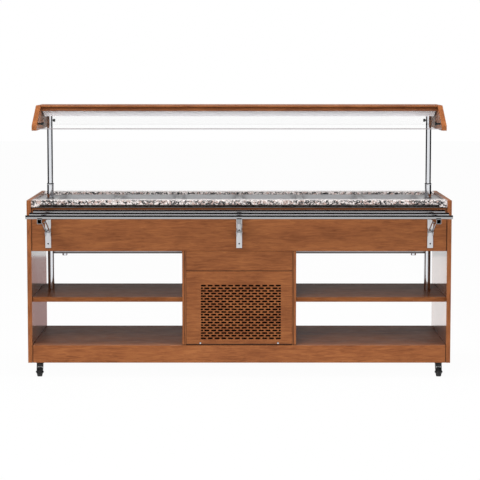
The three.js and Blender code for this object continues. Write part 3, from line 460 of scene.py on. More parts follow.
def cherry_laminate(
    axis, seed=0.0, tone=1.0, lacquer=0.0, sheen=None, slots=None, eave=None, seams=()
):
    """Cherry laminate with its grain along an axis, its colours scaled by painted light into a lit
    or shaded copy for each board. Lacquer lies on the faces that look along X, anything behind the
    slots' plane is dark with painted shade, the wood under an eave's height has a painted shadow,
    and a seam is a dark line of painted shade in the joint: its axis, its place and its half
    width."""
    wood = settings().wood
    shader = Shader(f"cherry_laminate_{axis}_{int(seed * 10)}_{int(tone * 100)}")
    shift = (seed, seed * 1.7, seed * 2.3)
    clouds = shader.noise(
        shader.place(along_axis(axis, 1.0, 2.4), shift), 0.35 / wood.streak, 3.0, 0.5, 0.6
    )
    flames = shader.noise(
        shader.place(along_axis(axis, 1.0, 8.0), shift), 1.0 / wood.streak, 4.0, 0.6, 0.9
    )
    pores = shader.noise(
        shader.place(along_axis(axis, 0.035, 1.0), shift), 0.6 / wood.pore, 3.0, 0.6
    )
    figure = clouds * 0.3 + flames * 0.5 + pores * 0.2
    # painted light: this factor makes a lighter or darker copy of the laminate for the light or
    # shade on each board
    deep, body, pale = (tinted(stain, tone) for stain in (wood.deep, wood.body, wood.pale))
    ground = shader.ramp(figure, (0.33, deep), (0.5, body), (0.68, pale))
    pore_mask = shader.band(pores, 0.6, 0.7)
    grained = shader.mix(pore_mask * 0.28, ground, deep)
    # painted shade: the slots' walls behind the panel's face turn near black
    if slots is not None:
        behind = shader.band(shader.coordinate(1), slots, slots + 0.001)
        grained = shader.mix(behind, grained, SLOT_SHADE)
    # painted shadow: the wood darkens towards the counter's edge above it
    if eave is not None:
        painted_eave_shadow = shader.band(shader.coordinate(2), eave - wood.eave_shade, eave) * 0.75
        grained = shader.mix(painted_eave_shadow, grained, tinted(body, 0.3))
    # painted shade: each seam is a dark line for the shade in the joint
    for along, place, half in seams:
        apart = abs(shader.coordinate(along) - place)
        line = (1.0 - shader.band(apart, half * 0.5, half)) * 0.8
        grained = shader.mix(line, grained, SEAM_SHADE)
    scuffs = shader.noise(shader.place(), 14.0, 5.0, 0.65)
    return shader.finish(
        base_color=grained,
        roughness=0.36 + 0.16 * scuffs + 0.08 * pore_mask,
        specular_ior_level=wood.sheen if sheen is None else sheen,
        normal=shader.bump(pores, 0.12, 0.0004),
        coat_weight=shader.facing(0) * lacquer if lacquer else 0.0,
        coat_roughness=0.1,
    )


def granite():
    """Polished granite: grains of feldspar, quartz and mica, with painted shade under the bevel.
    """
    stone = settings().stone
    shader = Shader("granite")
    point = shader.place()
    warp = shader.noise(point, 90.0, 2.0)
    bent = shader.node(
        "ShaderNodeVectorMath",
        {"operation": "MULTIPLY_ADD"},
        {0: (0.004, 0.004, 0.004), 1: warp, 2: point},
    )
    coarse = shader.grains(bent, 1.0 / stone.grain)
    fine = shader.grains(bent, 2.6 / stone.grain)
    body = shader.ramp(
        coarse,
        (0.0, tuple(stone.dark)),
        (0.25, tuple(stone.grey)),
        (0.46, tuple(stone.blush)),
        (0.68, tuple(stone.pale)),
    )
    body.output.node.color_ramp.interpolation = "CONSTANT"
    specks = shader.band(fine, 0.84, 0.86)
    glints = 1.0 - shader.band(fine, 0.1, 0.12)
    speckled = shader.mix(specks, body, tuple(stone.dark))
    lively = shader.mix(glints, speckled, tuple(stone.pale))
    # painted shade: faces that look down, under the bevel, turn near black
    under = 1.0 - shader.band(shader.looking(2), -0.5, -0.25)
    return shader.finish(
        base_color=shader.mix(under * 0.9, lively, UNDER_SHADE),
        roughness=0.2 + 0.12 * fine,
        normal=shader.bump(fine, 0.05, RELIEF),
    )


def brushed_steel(axis, tone=1.0, polish=0.2, gloss=1.0):
    """Stainless steel brushed along an axis, from satin to polished, its colour scaled by painted
    light into a lit or shaded copy for each part. The matt sheet of the pans has less gloss."""
    metal = settings().metal
    name = f"brushed_steel_{axis}_{int(tone * 100)}_{int(polish * 100)}_{int(gloss * 100)}"
    shader = Shader(name)
    lines = shader.noise(
        shader.place(along_axis(axis, 0.012, 1.0)), 0.5 / metal.brush, 4.0, 0.6
    )
    smears = shader.noise(shader.place(), 6.0, 4.0, 0.6)
    # painted light: this factor makes a lighter or darker copy of the steel for each part
    steel = tinted(metal.steel, tone)
    return shader.finish(
        base_color=shader.mix(lines * 0.6, steel, tinted(steel, 0.82)),
        metallic=gloss,
        roughness=polish + 0.6 * polish * lines + 0.4 * polish * smears,
        normal=shader.bump(lines, 0.06, RELIEF),
    )


def chrome():
    """Bright plating with faint finger marks."""
    metal = settings().metal
    shader = Shader("chrome_plate")
    marks = shader.noise(shader.place((1.0, 1.0, 0.4)), 22.0, 4.0, 0.65)
    return shader.finish(
        base_color=tuple(metal.chrome), metallic=1.0, roughness=0.05 + 0.08 * marks
    )


def black_paint():
    """Black powder coat with a fine orange peel."""
    metal = settings().metal
    shader = Shader("black_powder_coat")
    peel = shader.noise(shader.place(), 900.0, 2.0)
    dust = shader.noise(shader.place(), 18.0, 5.0, 0.65)
    dusty = lifted(metal.black, 0.02)
    return shader.finish(
        base_color=shader.mix(shader.band(dust, 0.5, 0.75), tuple(metal.black), dusty),
        roughness=0.36 + 0.18 * dust,
        normal=shader.bump(peel, 0.1, RELIEF),
    )


def rubber():
    """Tread rubber, paler where it rolls."""
    metal = settings().metal
    shader = Shader("tread_rubber")
    scuffs = shader.noise(shader.place(), 60.0, 5.0, 0.7)
    worn = lifted(metal.rubber, 0.035)
    return shader.finish(
        base_color=shader.mix(shader.band(scuffs, 0.45, 0.7), tuple(metal.rubber), worn),
        roughness=0.6 + 0.25 * scuffs,
        normal=shader.bump(scuffs, 0.2, 0.0003),
    )


def tank_shell():
    """Zinc-coated sheet with a soft spangle, its dark colour at the tank's foot also painted
    shade, and bright steel inside the tank.
    """
    metal = settings().metal
    shader = Shader("zinc_sheet")
    spangle = shader.grains(shader.place(), 60.0)
    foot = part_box("well_tank")[0].z
    above = shader.band(shader.coordinate(2), *(foot + rise for rise in TANK_LINE))
    inside = above.greater(shader.band(shader.looking(2), 0.5, 0.9))
    # painted shade: the dark zinc colour below the tank line
    outer = shader.mix(spangle * 0.6, tuple(metal.shell), tinted(metal.shell, 1.35))
    return shader.finish(
        base_color=shader.mix(inside, outer, tuple(metal.steel)),
        metallic=0.7 - 0.2 * inside,
        roughness=0.38 + 0.14 * spangle,
    )


def clear_panel():
    """Tempered glass: clear face on, brighter at a glance with a painted reflection."""
    shader = Shader("clear_glass")
    facing = shader.node("ShaderNodeLayerWeight", inputs={"Blend": 0.35}, output="Facing")
    smudge = shader.noise(shader.place(), 5.0, 4.0, 0.6)
    shader.material.surface_render_method = "BLENDED"
    return shader.finish(
        base_color=colour(150, 160, 158),
        roughness=0.02 + 0.05 * smudge,
        # painted reflection: the alpha rises at a glance so the glass's grey shows more
        alpha=0.012 + 0.07 * facing ** 3.0,
    )


def glass_edge(shown):
    """The ground edge of the glass, by how much of it shows."""
    shader = Shader(f"glass_edge_{int(shown * 100)}")
    haze = shader.noise(shader.place(along_axis("X", 0.2, 1.0)), 120.0, 3.0)
    return shader.finish(
        base_color=shader.mix(haze, colour(128, 118, 121), colour(160, 152, 154)),
        roughness=0.25 + 0.2 * haze,
        alpha=shown,
    )


def lamp_glass():
    """Opal lamp tube."""
    shader = Shader("opal_glass")
    haze = shader.noise(shader.place(), 40.0, 2.0)
    return shader.finish(
        base_color=shader.mix(haze, colour(246, 246, 240), colour(236, 236, 230)),
        roughness=0.22 + 0.1 * haze,
    )


def grey_plastic():
    """Pale moulded plastic."""
    shader = Shader("moulded_plastic")
    spark = shader.noise(shader.place(), 700.0, 2.0)
    return shader.finish(
        base_color=shader.mix(spark * 0.3, colour(226, 226, 222), colour(206, 206, 203)),
        roughness=0.4 + 0.15 * spark,
        normal=shader.bump(spark, 0.1, RELIEF),
    )


def filter_foam():
    """Black open-cell foam that lets no light back: painted shade in the gap under the vent panel
    and behind its slots.
    """
    shader = Shader("filter_foam")
    cells = shader.noise(shader.place(), 400.0, 3.0)
    return shader.finish(
        base_color=shader.mix(cells, (0.002, 0.002, 0.002), (0.008, 0.008, 0.008)),
        roughness=0.9 + 0.1 * cells,
        specular_ior_level=0.0,
    )


def white_enamel():
    """Stoved enamel with a faint orange peel, painted near white: partly its own colour, partly
    painted light from the lamp tube.
    """
    shader = Shader("white_enamel")
    peel = shader.noise(shader.place(), 500.0, 2.0)
    haze = shader.noise(shader.place(along_axis("X", 0.2, 1.0)), 9.0, 4.0)
    return shader.finish(
        # painted light: the near-white colour also stands in for the light of the lamp tube
        base_color=shader.mix(haze, colour(250, 249, 252), colour(240, 239, 243)),
        roughness=0.3 + 0.15 * haze,
        normal=shader.bump(peel, 0.06, RELIEF),
    )


def finned_metal():
    """Condenser fins, seen as fine upright lines."""
    shader = Shader("condenser_fins")
    fins = shader.node(
        "ShaderNodeTexWave",
        {"wave_type": "BANDS", "bands_direction": "X", "wave_profile": "SAW"},
        {"Vector": shader.place(), "Scale": 75.0, "Distortion": 0.0},
        output="Fac",
    )
    grime = shader.noise(shader.place(), 12.0, 4.0, 0.6)
    lines = shader.mix(fins, colour(30, 30, 31), colour(72, 72, 74))
    return shader.finish(
        base_color=shader.mix(shader.band(grime, 0.45, 0.75) * 0.5, lines, colour(36, 34, 31)),
        metallic=0.3,
        roughness=0.35 + 0.2 * grime,
        normal=shader.bump(fins, 0.3, 0.0006),
    )


MAKERS = {
    "cherry": cherry_laminate,
    "granite": granite,
    "steel": brushed_steel,
    "chrome": chrome,
    "black": black_paint,
    "rubber": rubber,
    "tank": tank_shell,
    "glass": clear_panel,
    "glass_edge": glass_edge,
    "lamp": lamp_glass,
    "plastic": grey_plastic,
    "enamel": white_enamel,
    "foam": filter_foam,
    "fins": finned_metal,
}


# ------------------------------------------------------------------ mesh helpers


def to_mesh(name, shape, sharp=SHARP_ANGLE):
    """A mesh with merged points, outward faces and smooth shading between sharp edges."""
    points, faces = shape
    work = bmesh.new()
    made = [work.verts.new(point) for point in points]
    for face in faces:
        work.faces.new([made[index] for index in face])
    bmesh.ops.remove_doubles(work, verts=work.verts, dist=SAME_POINT)
    bmesh.ops.recalc_face_normals(work, faces=work.faces)
    mesh = bpy.data.meshes.new(name)
    work.to_mesh(mesh)
    work.free()
    return smooth(mesh, sharp)


def smooth(mesh, sharp=SHARP_ANGLE):
    mesh.polygons.foreach_set("use_smooth", [True] * len(mesh.polygons))
    mesh.set_sharp_from_angle(angle=math.radians(sharp))
    return mesh


def loft(rings, close=False):
    """Points and faces through rings of equal count, capped unless the last meets the first."""
    count = len(rings[0])
    points = [point for ring in rings for point in ring]
    faces = []
    spans = len(rings) if close else len(rings) - 1
    for ring in range(spans):
        here = ring * count
        there = (ring + 1) % len(rings) * count
        for point in range(count):
            beside = (point + 1) % count
            faces.append((here + point, here + beside, there + beside, there + point))
    if not close:
        faces.append(tuple(reversed(range(count))))
        faces.append(tuple(range(len(points) - count, len(points))))
    return points, faces


def turned(profile, steps=48):
    """Points and faces of a closed [radius, height] profile turned about Z."""
    rings = []
    for step in range(steps):
        angle = 2 * math.pi * step / steps
        rings.append([(r * math.cos(angle), r * math.sin(angle), z) for r, z in profile])
    return loft(rings, close=True)


def merge(*shapes):
    """Several (points, faces) shapes as one."""
    points, faces = [], []
    for shape_points, shape_faces in shapes:
        base = len(points)
        points.extend(shape_points)
        faces.extend(tuple(base + index for index in face) for face in shape_faces)
    return points, faces


def moved(shape, matrix):
    points, faces = shape
    return [tuple(matrix @ Vector(point)) for point in points], faces


def lay_x(shape):
    """Turns a shape's Z axis into X."""
    return moved(shape, Matrix.Rotation(math.pi / 2, 4, "Y"))


def shifted(shape, offset):
    return moved(shape, Matrix.Translation(Vector(offset)))


def rounded(width, depth, corner, steps=6):
    """A rounded rectangle's outline about the origin."""
    outline = []
    for quarter, (sx, sy) in enumerate(((1, 1), (-1, 1), (-1, -1), (1, -1))):
        for step in range(steps + 1):
            angle = math.pi / 2 * (quarter + step / steps)
            outline.append(
                (
                    sx * (width / 2 - corner) + corner * math.cos(angle),
                    sy * (depth / 2 - corner) + corner * math.sin(angle),
                )
            )
    return outline


def block(low, high):
    """A plain box between two opposite corners."""
    (x0, y0, z0), (x1, y1, z1) = low, high
    return loft([[(x0, y0, z), (x1, y0, z), (x1, y1, z), (x0, y1, z)] for z in (z0, z1)])


def arc(centre, radius, start, end, steps=6):
    """Profile points round a corner, angles in degrees."""
    angles = [math.radians(start + (end - start) * step / steps) for step in range(steps + 1)]
    return [(centre[0] + radius * math.cos(a), centre[1] + radius * math.sin(a)) for a in angles]


def pipe(outer, inner, low, high, ease=0.0004, steps=48):
    """A tube along Z with eased rims."""
    profile = [
        (inner, low + ease),
        (inner + ease, low),
        (outer - ease, low),
        (outer, low + ease),
        (outer, high - ease),
        (outer - ease, high),
        (inner + ease, high),
        (inner, high - ease),
    ]
    return turned(profile, steps)


def box_tube(side, wall, corner, low, high, closed_high=False):
    """A square tube along Z, open at both ends or closed at the high one."""
    outer = rounded(side, side, corner)
    inner = rounded(side - 2 * wall, side - 2 * wall, max(corner - wall, 0.0005))
    if closed_high:
        rings = [[(x, y, z) for x, y in outer] for z in (high, low)]
        rings += [[(x, y, z) for x, y in inner] for z in (low, high - wall)]
        return loft(rings)
    rings = [[(x, y, z) for x, y in outer] for z in (low, high)]
    rings += [[(x, y, z) for x, y in inner] for z in (high, low)]
    return loft(rings, close=True)


def new_object(name, data):
    """An object in the scene."""
    made = bpy.data.objects.new(name, data)
    bpy.context.scene.collection.objects.link(made)
    return made


def add_piece(name, mesh, body, stands_for=()):
    """A new piece on a body, and the nodes that it stands for."""
    piece = new_object(name, mesh)
    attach(piece, body)
    if stands_for:
        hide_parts(*stands_for)


def add_shape(name, shape, material, body, stands_for=(), sharp=SHARP_ANGLE):
    """A new piece from points and faces, in one finish."""
    mesh = to_mesh(name, shape, sharp)
    mesh.materials.append(material)
    add_piece(name, mesh, body, stands_for)


def dress(node, material, edge=0.0):
    """Puts a finish on a carried-over node and eases its edges."""
    item = nodes[node]
    for slot in item.material_slots:
        slot.material = material
    if edge:
        weld = item.modifiers.new("weld", "WELD")
        weld.merge_threshold = WELD_REACH
        ease = item.modifiers.new("ease", "BEVEL")
        ease.width = edge
        ease.segments = 2
        ease.limit_method = "ANGLE"
        ease.angle_limit = math.radians(EASED_ANGLE)


def end_seam_shades(node, half):
    """Lines of painted shade, of one half width, in the joints at a board's left and right ends.
    """
    low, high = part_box(node)
    return (0, low.x, half), (0, high.x, half)


def own_top(node):
    """A node's highest point in its own frame."""
    return max(corner[2] for corner in nodes[node].bound_box)


def middle(node):
    low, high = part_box(node)
    return (low + high) / 2


def screw_mesh(radius):
    """A pan head with a cross recess, its seat at z 0 and its top up."""
    crown = 0.55 * radius
    sphere = (radius * radius + crown * crown) / (2 * crown)
    half_angle = math.degrees(math.asin(radius / sphere))
    dome = arc((0.0, crown - sphere), sphere, 90 - half_angle, 90, 8)
    head = to_mesh("screw_head", turned([(0.0, 0.0), (radius, 0.0), *dome], 32))
    arm, slit = 0.62 * radius, 0.16 * radius
    depth = 0.35 * radius
    cross = [
        (arm, slit), (slit, slit), (slit, arm), (-slit, arm), (-slit, slit), (-arm, slit),
        (-arm, -slit), (-slit, -slit), (-slit, -arm), (slit, -arm), (slit, -slit), (arm, -slit),
    ]
    rings = [[(x, y, z) for x, y in cross] for z in (crown - depth, crown + depth)]
    cutter = new_object("cross", to_mesh("cross", loft(rings)))
    blank = new_object("blank", head)
    recess = blank.modifiers.new("recess", "BOOLEAN")
    recess.operation = "DIFFERENCE"
    recess.object = cutter
    ready = blank.evaluated_get(bpy.context.evaluated_depsgraph_get())
    made = bpy.data.meshes.new_from_object(ready)
    for item in (cutter, blank):
        bpy.data.objects.remove(item)
    return smooth(made)


def add_screws(group, places, body, radius, material):
    """Screw heads that share one mesh and look towards the guest."""
    mesh = screw_mesh(radius)
    mesh.materials.append(material)
    turn = Vector((0, -1, 0)).to_track_quat("Z", "Y").to_matrix().to_4x4()
    for index, place in enumerate(places):
        piece = new_object(f"{group}_screw_{index + 1}", mesh)
        piece.matrix_world = Matrix.Translation(Vector(place)) @ turn
        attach(piece, body)


# ------------------------------------------------------------------ operators


class SALADBAR_OT_carcass(bpy.types.Operator):
    """Cherry laminate on the side panels, shelves, aprons and bay walls."""

    bl_idname = "saladbar.carcass"
    bl_label = "Dress Carcass"

    def execute(self, context):
        wood = settings().wood
        # tones other than 1 below are painted light: lighter or darker copies of the laminate for
        # each board's light or shade
        for seed, (side, sign) in zip((1.3, 2.9), SIDE_SIGNS):
            dress(f"side_panel_{side}", finish("cherry", "Z", seed, lacquer=wood.lacquer))
            low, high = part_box(f"bay_wall_{side}")
            inner = high.x if side == "left" else low.x
            # painted shade: dark lines at the rebate and under the wall's foot
            seams = (
                (0, inner + sign * wood.rebate, wood.rebate_shade),
                (2, low.z, wood.foot_seam_shade),
            )
            wall = finish("cherry", "Z", seed, lacquer=wood.bay_lacquer, seams=seams)
            dress(f"bay_wall_{side}", wall, wood.edge)
            shelf = finish("cherry", "X", seed, tone=0.78, sheen=wood.shelf_sheen)
            dress(f"middle_shelf_{side}", shelf)
        for number, end in enumerate(ENDS):
            node = f"apron_{end}"
            # painted shadow under the counter's edge, and painted shade in the joints at the
            # board's ends
            eave, seams = own_top(node), end_seam_shades(node, wood.end_seam_shade)
            dress(node, finish("cherry", "X", 3.1 + number, tone=0.93, eave=eave, seams=seams))
            node = f"base_rail_{end}"
            seams = end_seam_shades(node, wood.end_seam_shade)
            dress(node, finish("cherry", "X", 5.2 + number, tone=1.05, seams=seams))
        dress("base_board", finish("cherry", "X", 7.4, tone=0.95, sheen=wood.shelf_sheen))
        # painted shade in the joints round the bay's upper panel, which is also a darker copy of
        # the laminate
        node = "bay_upper_panel"
        seams = (*end_seam_shades(node, wood.bay_seam_shade), (2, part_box(node)[0].z, wood.bay_seam_shade))
        dress(node, finish("cherry", "X", 8.1, tone=0.88, seams=seams))
        dress("bay_rear_panel", finish("cherry", "X", 8.8))
        return {"FINISHED"}


class SALADBAR_OT_counter(bpy.types.Operator):
    """Granite rails, the pressed deck, the tank below it and the caps on its drains."""

    bl_idname = "saladbar.counter"
    bl_label = "Dress Counter"

    spigot: length("Spigot", "Outer radius of a drain spigot", 0.011)
    drain: length("Drain place", "Spigots from the ends of the tank", 0.061)
    cap: length("Drain cap", "Height of a drain cap", 0.014)
    cap_wall: length("Cap wall", "Cap's outer radius beyond the spigot's", 0.0025)
    rounding: length("Cap rounding", "Radius round a cap's foot", 0.002)
    gap: length("Gap", "Gap between a spigot and its cap", 0.0002)

    def execute(self, context):
        for end in ENDS:
            dress(f"stone_rail_{end}", finish("granite"), settings().stone.edge)
        dress("pan_deck", finish("steel", "X", polish=0.25, gloss=0.6))
        dress("well_tank", finish("tank"))
        low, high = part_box("well_tank")
        radius = self.spigot + self.cap_wall
        bore = self.spigot + self.gap
        top = low.z + self.cap
        profile = [
            (0.0, low.z - self.rounding),
            *arc((radius - self.rounding, low.z), self.rounding, 270, 360, 3),
            (radius, top),
            (bore, top),
            (bore, low.z - self.gap),
            (0.0, low.z - self.gap),
        ]
        for side, x in (("left", low.x + self.drain), ("right", high.x - self.drain)):
            shape = shifted(turned(profile, 32), (x, low.y + 2 * self.spigot, 0))
            add_shape(f"drain_cap_{side}", shape, finish("chrome"), "cabinet")
        return {"FINISHED"}


class SALADBAR_OT_vent(bpy.types.Operator):
    """The vent panel with its round-ended slots, two screws and the black seal under it, which is
    painted shade in the gap.
    """

    bl_idname = "saladbar.vent"
    bl_label = "Build Vent Panel"

    ease: length("Eased edge", "Radius of the panel's eased edges", 0.0004)
    corner: length("Corner", "Corner radius of the panel's outline", 0.001)
    # painted shade: depth behind the face from which the slots' walls are darkened
    shade: length("Slot shade", "Dark of the slots behind the panel's face", 0.0007)
    seal: length("Seal", "Height of the black seal under the panel", 0.0038)
    seal_gap: length("Seal gap", "Seal below the panel's lower edge", 0.0001)
    seal_front: length("Seal front", "Seal behind the panel's face", 0.001)
    seal_rear: length("Seal rear", "Seal ahead of the panel's rear", 0.006)

    def slots(self, low):
        """Centre and length of each slot, row by row."""
        vent = settings().vent
        half_grid = ((vent.columns - 1) * vent.pitch_x + vent.slot_length) / 2
        end_length = vent.slot_length - vent.pitch_x / 2 + vent.end_growth
        for row in range(vent.rows):
            z = low.z + vent.rise + row * vent.pitch_z
            count = vent.columns - row % 2
            for column in range(count):
                yield vent.shift + (column - (count - 1) / 2) * vent.pitch_x, z, vent.slot_length
            if row % 2:
                for sign in (-1, 1):
                    yield vent.shift + sign * (half_grid - end_length / 2), z, end_length

    def panel_mesh(self, low, high):
        """The sheet with its slots, stood up between its two corners."""
        vent = settings().vent
        centre = (low + high) / 2
        sheet = bpy.data.curves.new("vent_outline", "CURVE")
        sheet.dimensions = "2D"
        sheet.fill_mode = "BOTH"
        sheet.extrude = (high.y - low.y) / 2 - self.ease
        sheet.bevel_depth = self.ease
        sheet.bevel_resolution = 1
        sheet.offset = -self.ease
        outlines = [rounded(high.x - low.x, high.z - low.z, self.corner, 2)]
        for x, z, run in self.slots(low):
            corner = min(vent.corner, 0.48 * run, 0.48 * vent.slot_height)
            slot = rounded(run, vent.slot_height, corner, 4)
            outlines.append([(x + px, z - centre.z + pz) for px, pz in slot])
        for outline in outlines:
            spline = sheet.splines.new("POLY")
            spline.points.add(len(outline) - 1)
            for point, (x, z) in zip(spline.points, outline):
                point.co = (x, z, 0, 1)
            spline.use_cyclic_u = True
        carrier = new_object("vent_outline", sheet)
        ready = carrier.evaluated_get(bpy.context.evaluated_depsgraph_get())
        mesh = bpy.data.meshes.new_from_object(ready)
        bpy.data.objects.remove(carrier)
        stand = Matrix.Translation((0, centre.y, centre.z))
        mesh.transform(stand @ Matrix.Rotation(math.pi / 2, 4, "X"))
        mesh.materials.clear()
        return smooth(mesh, 40)

    def execute(self, context):
        wood = settings().wood
        fittings = settings().fittings
        node = "vent_panel"
        low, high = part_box(node)
        mesh = self.panel_mesh(low, high)
        seams = (*end_seam_shades(node, wood.bay_seam_shade), (2, low.z, wood.foot_seam_shade))
        # painted shade in the slots and the joints; the panel is also a darker copy of the
        # laminate
        slots = low.y + self.shade
        mesh.materials.append(finish("cherry", "X", 9.6, tone=0.9, slots=slots, seams=seams))
        add_piece(f"{node}_slotted", mesh, "cabinet", [node])
        places = [
            (sign * fittings.screw_spread, low.y, low.z + fittings.screw_rise) for sign in (-1, 1)
        ]
        add_screws("vent", places, "cabinet", fittings.vent_screw, finish("chrome"))
        # painted shade: a black seal fills the gap under the panel
        strip = block(
            (low.x, low.y + self.seal_front, low.z - self.seal),
            (high.x, high.y - self.seal_rear, low.z - self.seal_gap),
        )
        add_shape("vent_seal", strip, finish("foam"), "cabinet")
        return {"FINISHED"}


class SALADBAR_OT_pans(bpy.types.Operator):
    """Six pressed pans with rolled flanges and soft corners."""

    bl_idname = "saladbar.pans"
    bl_label = "Build Pans"

    rim: length("Flange", "Width of the flange", 0.012)
    wall: length("Wall", "Wall of the pan", 0.0015)
    corner: length("Corner", "Corner radius of the mouth", 0.0375)
    draw: length("Draw", "How far each wall leans in", 0.009)
    foot: length("Foot radius", "Radius between wall and base", 0.012)
    tightest: length("Tightest corner", "Smallest corner radius at the foot", 0.004)
    roll: length("Rolled edge", "Radius of the flange's outer edge", 0.0006)
    bend: length("Bend", "Radius between flange and wall", 0.001)
    neck: length("Neck", "How far the wall leans in over its first stretch", 0.003)
    neck_run: length("Neck height", "Height of the wall's first stretch", 0.01)

    def foot_rings(self, inset, base):
        """Inset, height and corner of the rings from the base up round the bend."""
        corner = max(self.corner - self.foot * 0.5, self.tightest)
        bends = [math.radians(degrees) for degrees in (0, 30, 60, 90)]
        return [
            (
                inset + self.draw + self.foot * (1 - math.sin(bend)),
                base + self.foot * (1 - math.cos(bend)),
                corner,
            )
            for bend in bends
        ]

    def pan_shape(self, node):
        """Rings up the outside, over the flange and down the inside to the base."""
        low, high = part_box(node)
        centre = middle(node)
        under = high.z - self.wall
        mouth = self.rim + self.wall
        outer_corner = self.corner + self.rim
        path = [
            *self.foot_rings(self.rim, low.z),
            (self.rim + self.neck, under - self.neck_run, self.corner),
            (self.rim + self.roll, under - self.bend, self.corner),
            (self.rim - self.bend, under, self.corner),
            (self.roll, under, outer_corner),
            (0.0, under + self.wall / 2, outer_corner),
            (self.roll, high.z, outer_corner),
            (self.rim - 2 * self.bend, high.z, self.corner + 2 * self.bend),
            (mouth + 0.4 * self.bend, high.z - 1.2 * self.bend, self.corner),
            (mouth + self.neck, high.z - self.neck_run, self.corner),
            *reversed(self.foot_rings(mouth, low.z + self.wall)),
        ]
        rings = []
        for inset, z, corner in path:
            outline = rounded(high.x - low.x - 2 * inset, high.y - low.y - 2 * inset, corner, 8)
            rings.append([(centre.x + x, centre.y + y, z) for x, y in outline])
        return loft(rings)

    def execute(self, context):
        sheet = finish("steel", "Y", polish=0.3, gloss=0.5)
        for node in PANS:
            add_shape(
                f"{node}_pressed", self.pan_shape(node), sheet, node, [node], sharp=50
            )
        return {"FINISHED"}


class SALADBAR_OT_canopy(bpy.types.Operator):
    """Canopy boards, lamp trough, glass with ground edges and its clamps."""

    bl_idname = "saladbar.canopy"
    bl_label = "Build Canopy"

    ease: length("Glass edge", "Bevel round the glass", 0.0006)
    ground: length("Ground edge", "Height of the ground lower edge", 0.012)
    drop: length("Clamp drop", "Clamps below the slope of the glass", 0.004)

    def glass_mesh(self, node):
        """The panel's own outline, with eased edges and its lower edge ground."""
        work = bmesh.new()
        work.from_mesh(nodes[node].data)
        bmesh.ops.remove_doubles(work, verts=work.verts, dist=0.1 * WELD_REACH)
        bmesh.ops.dissolve_limit(
            work, angle_limit=math.radians(1), verts=work.verts, edges=work.edges
        )
        bmesh.ops.bevel(
            work, geom=list(work.edges), offset=self.ease, segments=1, affect="EDGES", profile=0.5
        )
        foot = min(vertex.co.z for vertex in work.verts) + self.ground
        for face in work.faces:
            face.material_index = int(all(vertex.co.z < foot for vertex in face.verts))
        mesh = bpy.data.meshes.new(f"{node}_glass")
        work.to_mesh(mesh)
        work.free()
        mesh.materials.append(finish("glass"))
        mesh.materials.append(finish("glass_edge", 1.0 if node.endswith("front") else 0.1))
        return mesh

    def clamp_shape(self):
        """A clip along X with a rounded knob at its free end, about the origin."""
        fittings = settings().fittings
        radius = fittings.clamp_radius
        run = fittings.clamp_length
        profile = [
            (0.0, 0.0),
            (radius * 0.62, 0.0),
            (radius * 0.62, run * 0.62),
            *arc((radius * 0.86, run * 0.68), radius * 0.14, 270, 360, 3),
            *arc((radius * 0.72, run - radius * 0.28), radius * 0.28, 0, 90, 4),
            (0.0, run),
        ]
        return lay_x(turned(profile, 28))

    def execute(self, context):
        wood = settings().wood
        for side in SIDES:
            dress(f"canopy_end_{side}", finish("cherry", "Y", 1.9), wood.edge)
        # painted shade: the top board and the rails are darker copies of the laminate
        dress("canopy_top_board", finish("cherry", "X", 4.4, tone=0.86))
        for end in ENDS:
            dress(f"canopy_rail_{end}", finish("cherry", "X", 6.3, tone=0.78), wood.edge)
            node = f"clear_panel_{end}"
            add_piece(f"{node}_glass", self.glass_mesh(node), "canopy", [node])
        # painted light: the trough's near-white enamel also stands in for its lamp's light
        dress("lamp_trough", finish("enamel"))
        clamp = to_mesh("glass_clamp", self.clamp_shape())
        clamp.materials.append(finish("black"))
        glass_low, glass_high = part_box("clear_panel_rear")
        centre = middle("canopy_top_board")
        slope = (glass_high.z - glass_low.z) / (glass_high.y - glass_low.y)
        reach = settings().fittings.clamp_reach
        z = glass_low.z + (glass_high.y - centre.y - reach) * slope - self.drop
        for side in SIDES:
            low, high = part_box(f"canopy_end_{side}")
            x = high.x if side == "left" else low.x
            turn = Matrix.Rotation(0 if side == "left" else math.pi, 4, "Z")
            for end, direction in (("front", -1), ("rear", 1)):
                piece = new_object(f"glass_clamp_{end}_{side}", clamp)
                place = Matrix.Translation((x, centre.y + direction * reach, z))
                piece.matrix_world = place @ turn
                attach(piece, "canopy")
        return {"FINISHED"}


class SALADBAR_OT_lamp(bpy.types.Operator):
    """The opal lamp tube with its metal end caps."""

    bl_idname = "saladbar.lamp"
    bl_label = "Build Lamp"

    cap: length("Cap", "Length of an end cap", 0.022)
    step: length("Step", "Glass tube's radius inside the caps'", 0.001)
    rounding: length("Rounding", "Radius round a cap's end", 0.002)

    def execute(self, context):
        low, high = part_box("lamp_tube")
        centre = middle("lamp_tube")
        radius = (high.z - low.z) / 2
        half = (high.x - low.x) / 2
        glass_radius = radius - self.step
        end = half - self.rounding
        profile = [(0.0, -end), (glass_radius, -end), (glass_radius, end), (0.0, end)]
        tube = shifted(lay_x(turned(profile, 40)), centre)
        add_shape("lamp_tube_glass", tube, finish("lamp"), "canopy", ["lamp_tube"])
        profile = [
            (0.0, 0.0),
            *arc((radius - self.rounding, self.rounding), self.rounding, 270, 360, 3),
            (radius, self.cap),
            (glass_radius, self.cap),
            (0.0, self.cap - self.rounding),
        ]
        for side, sign in SIDE_SIGNS:
            turn = Matrix.Rotation(sign * -math.pi / 2, 4, "Y")
            place = Matrix.Translation(centre + Vector((sign * half, 0, 0)))
            cap = moved(turned(profile, 40), place @ turn)
            add_shape(f"lamp_cap_{side}", cap, finish("steel", "Z"), "canopy")
        return {"FINISHED"}


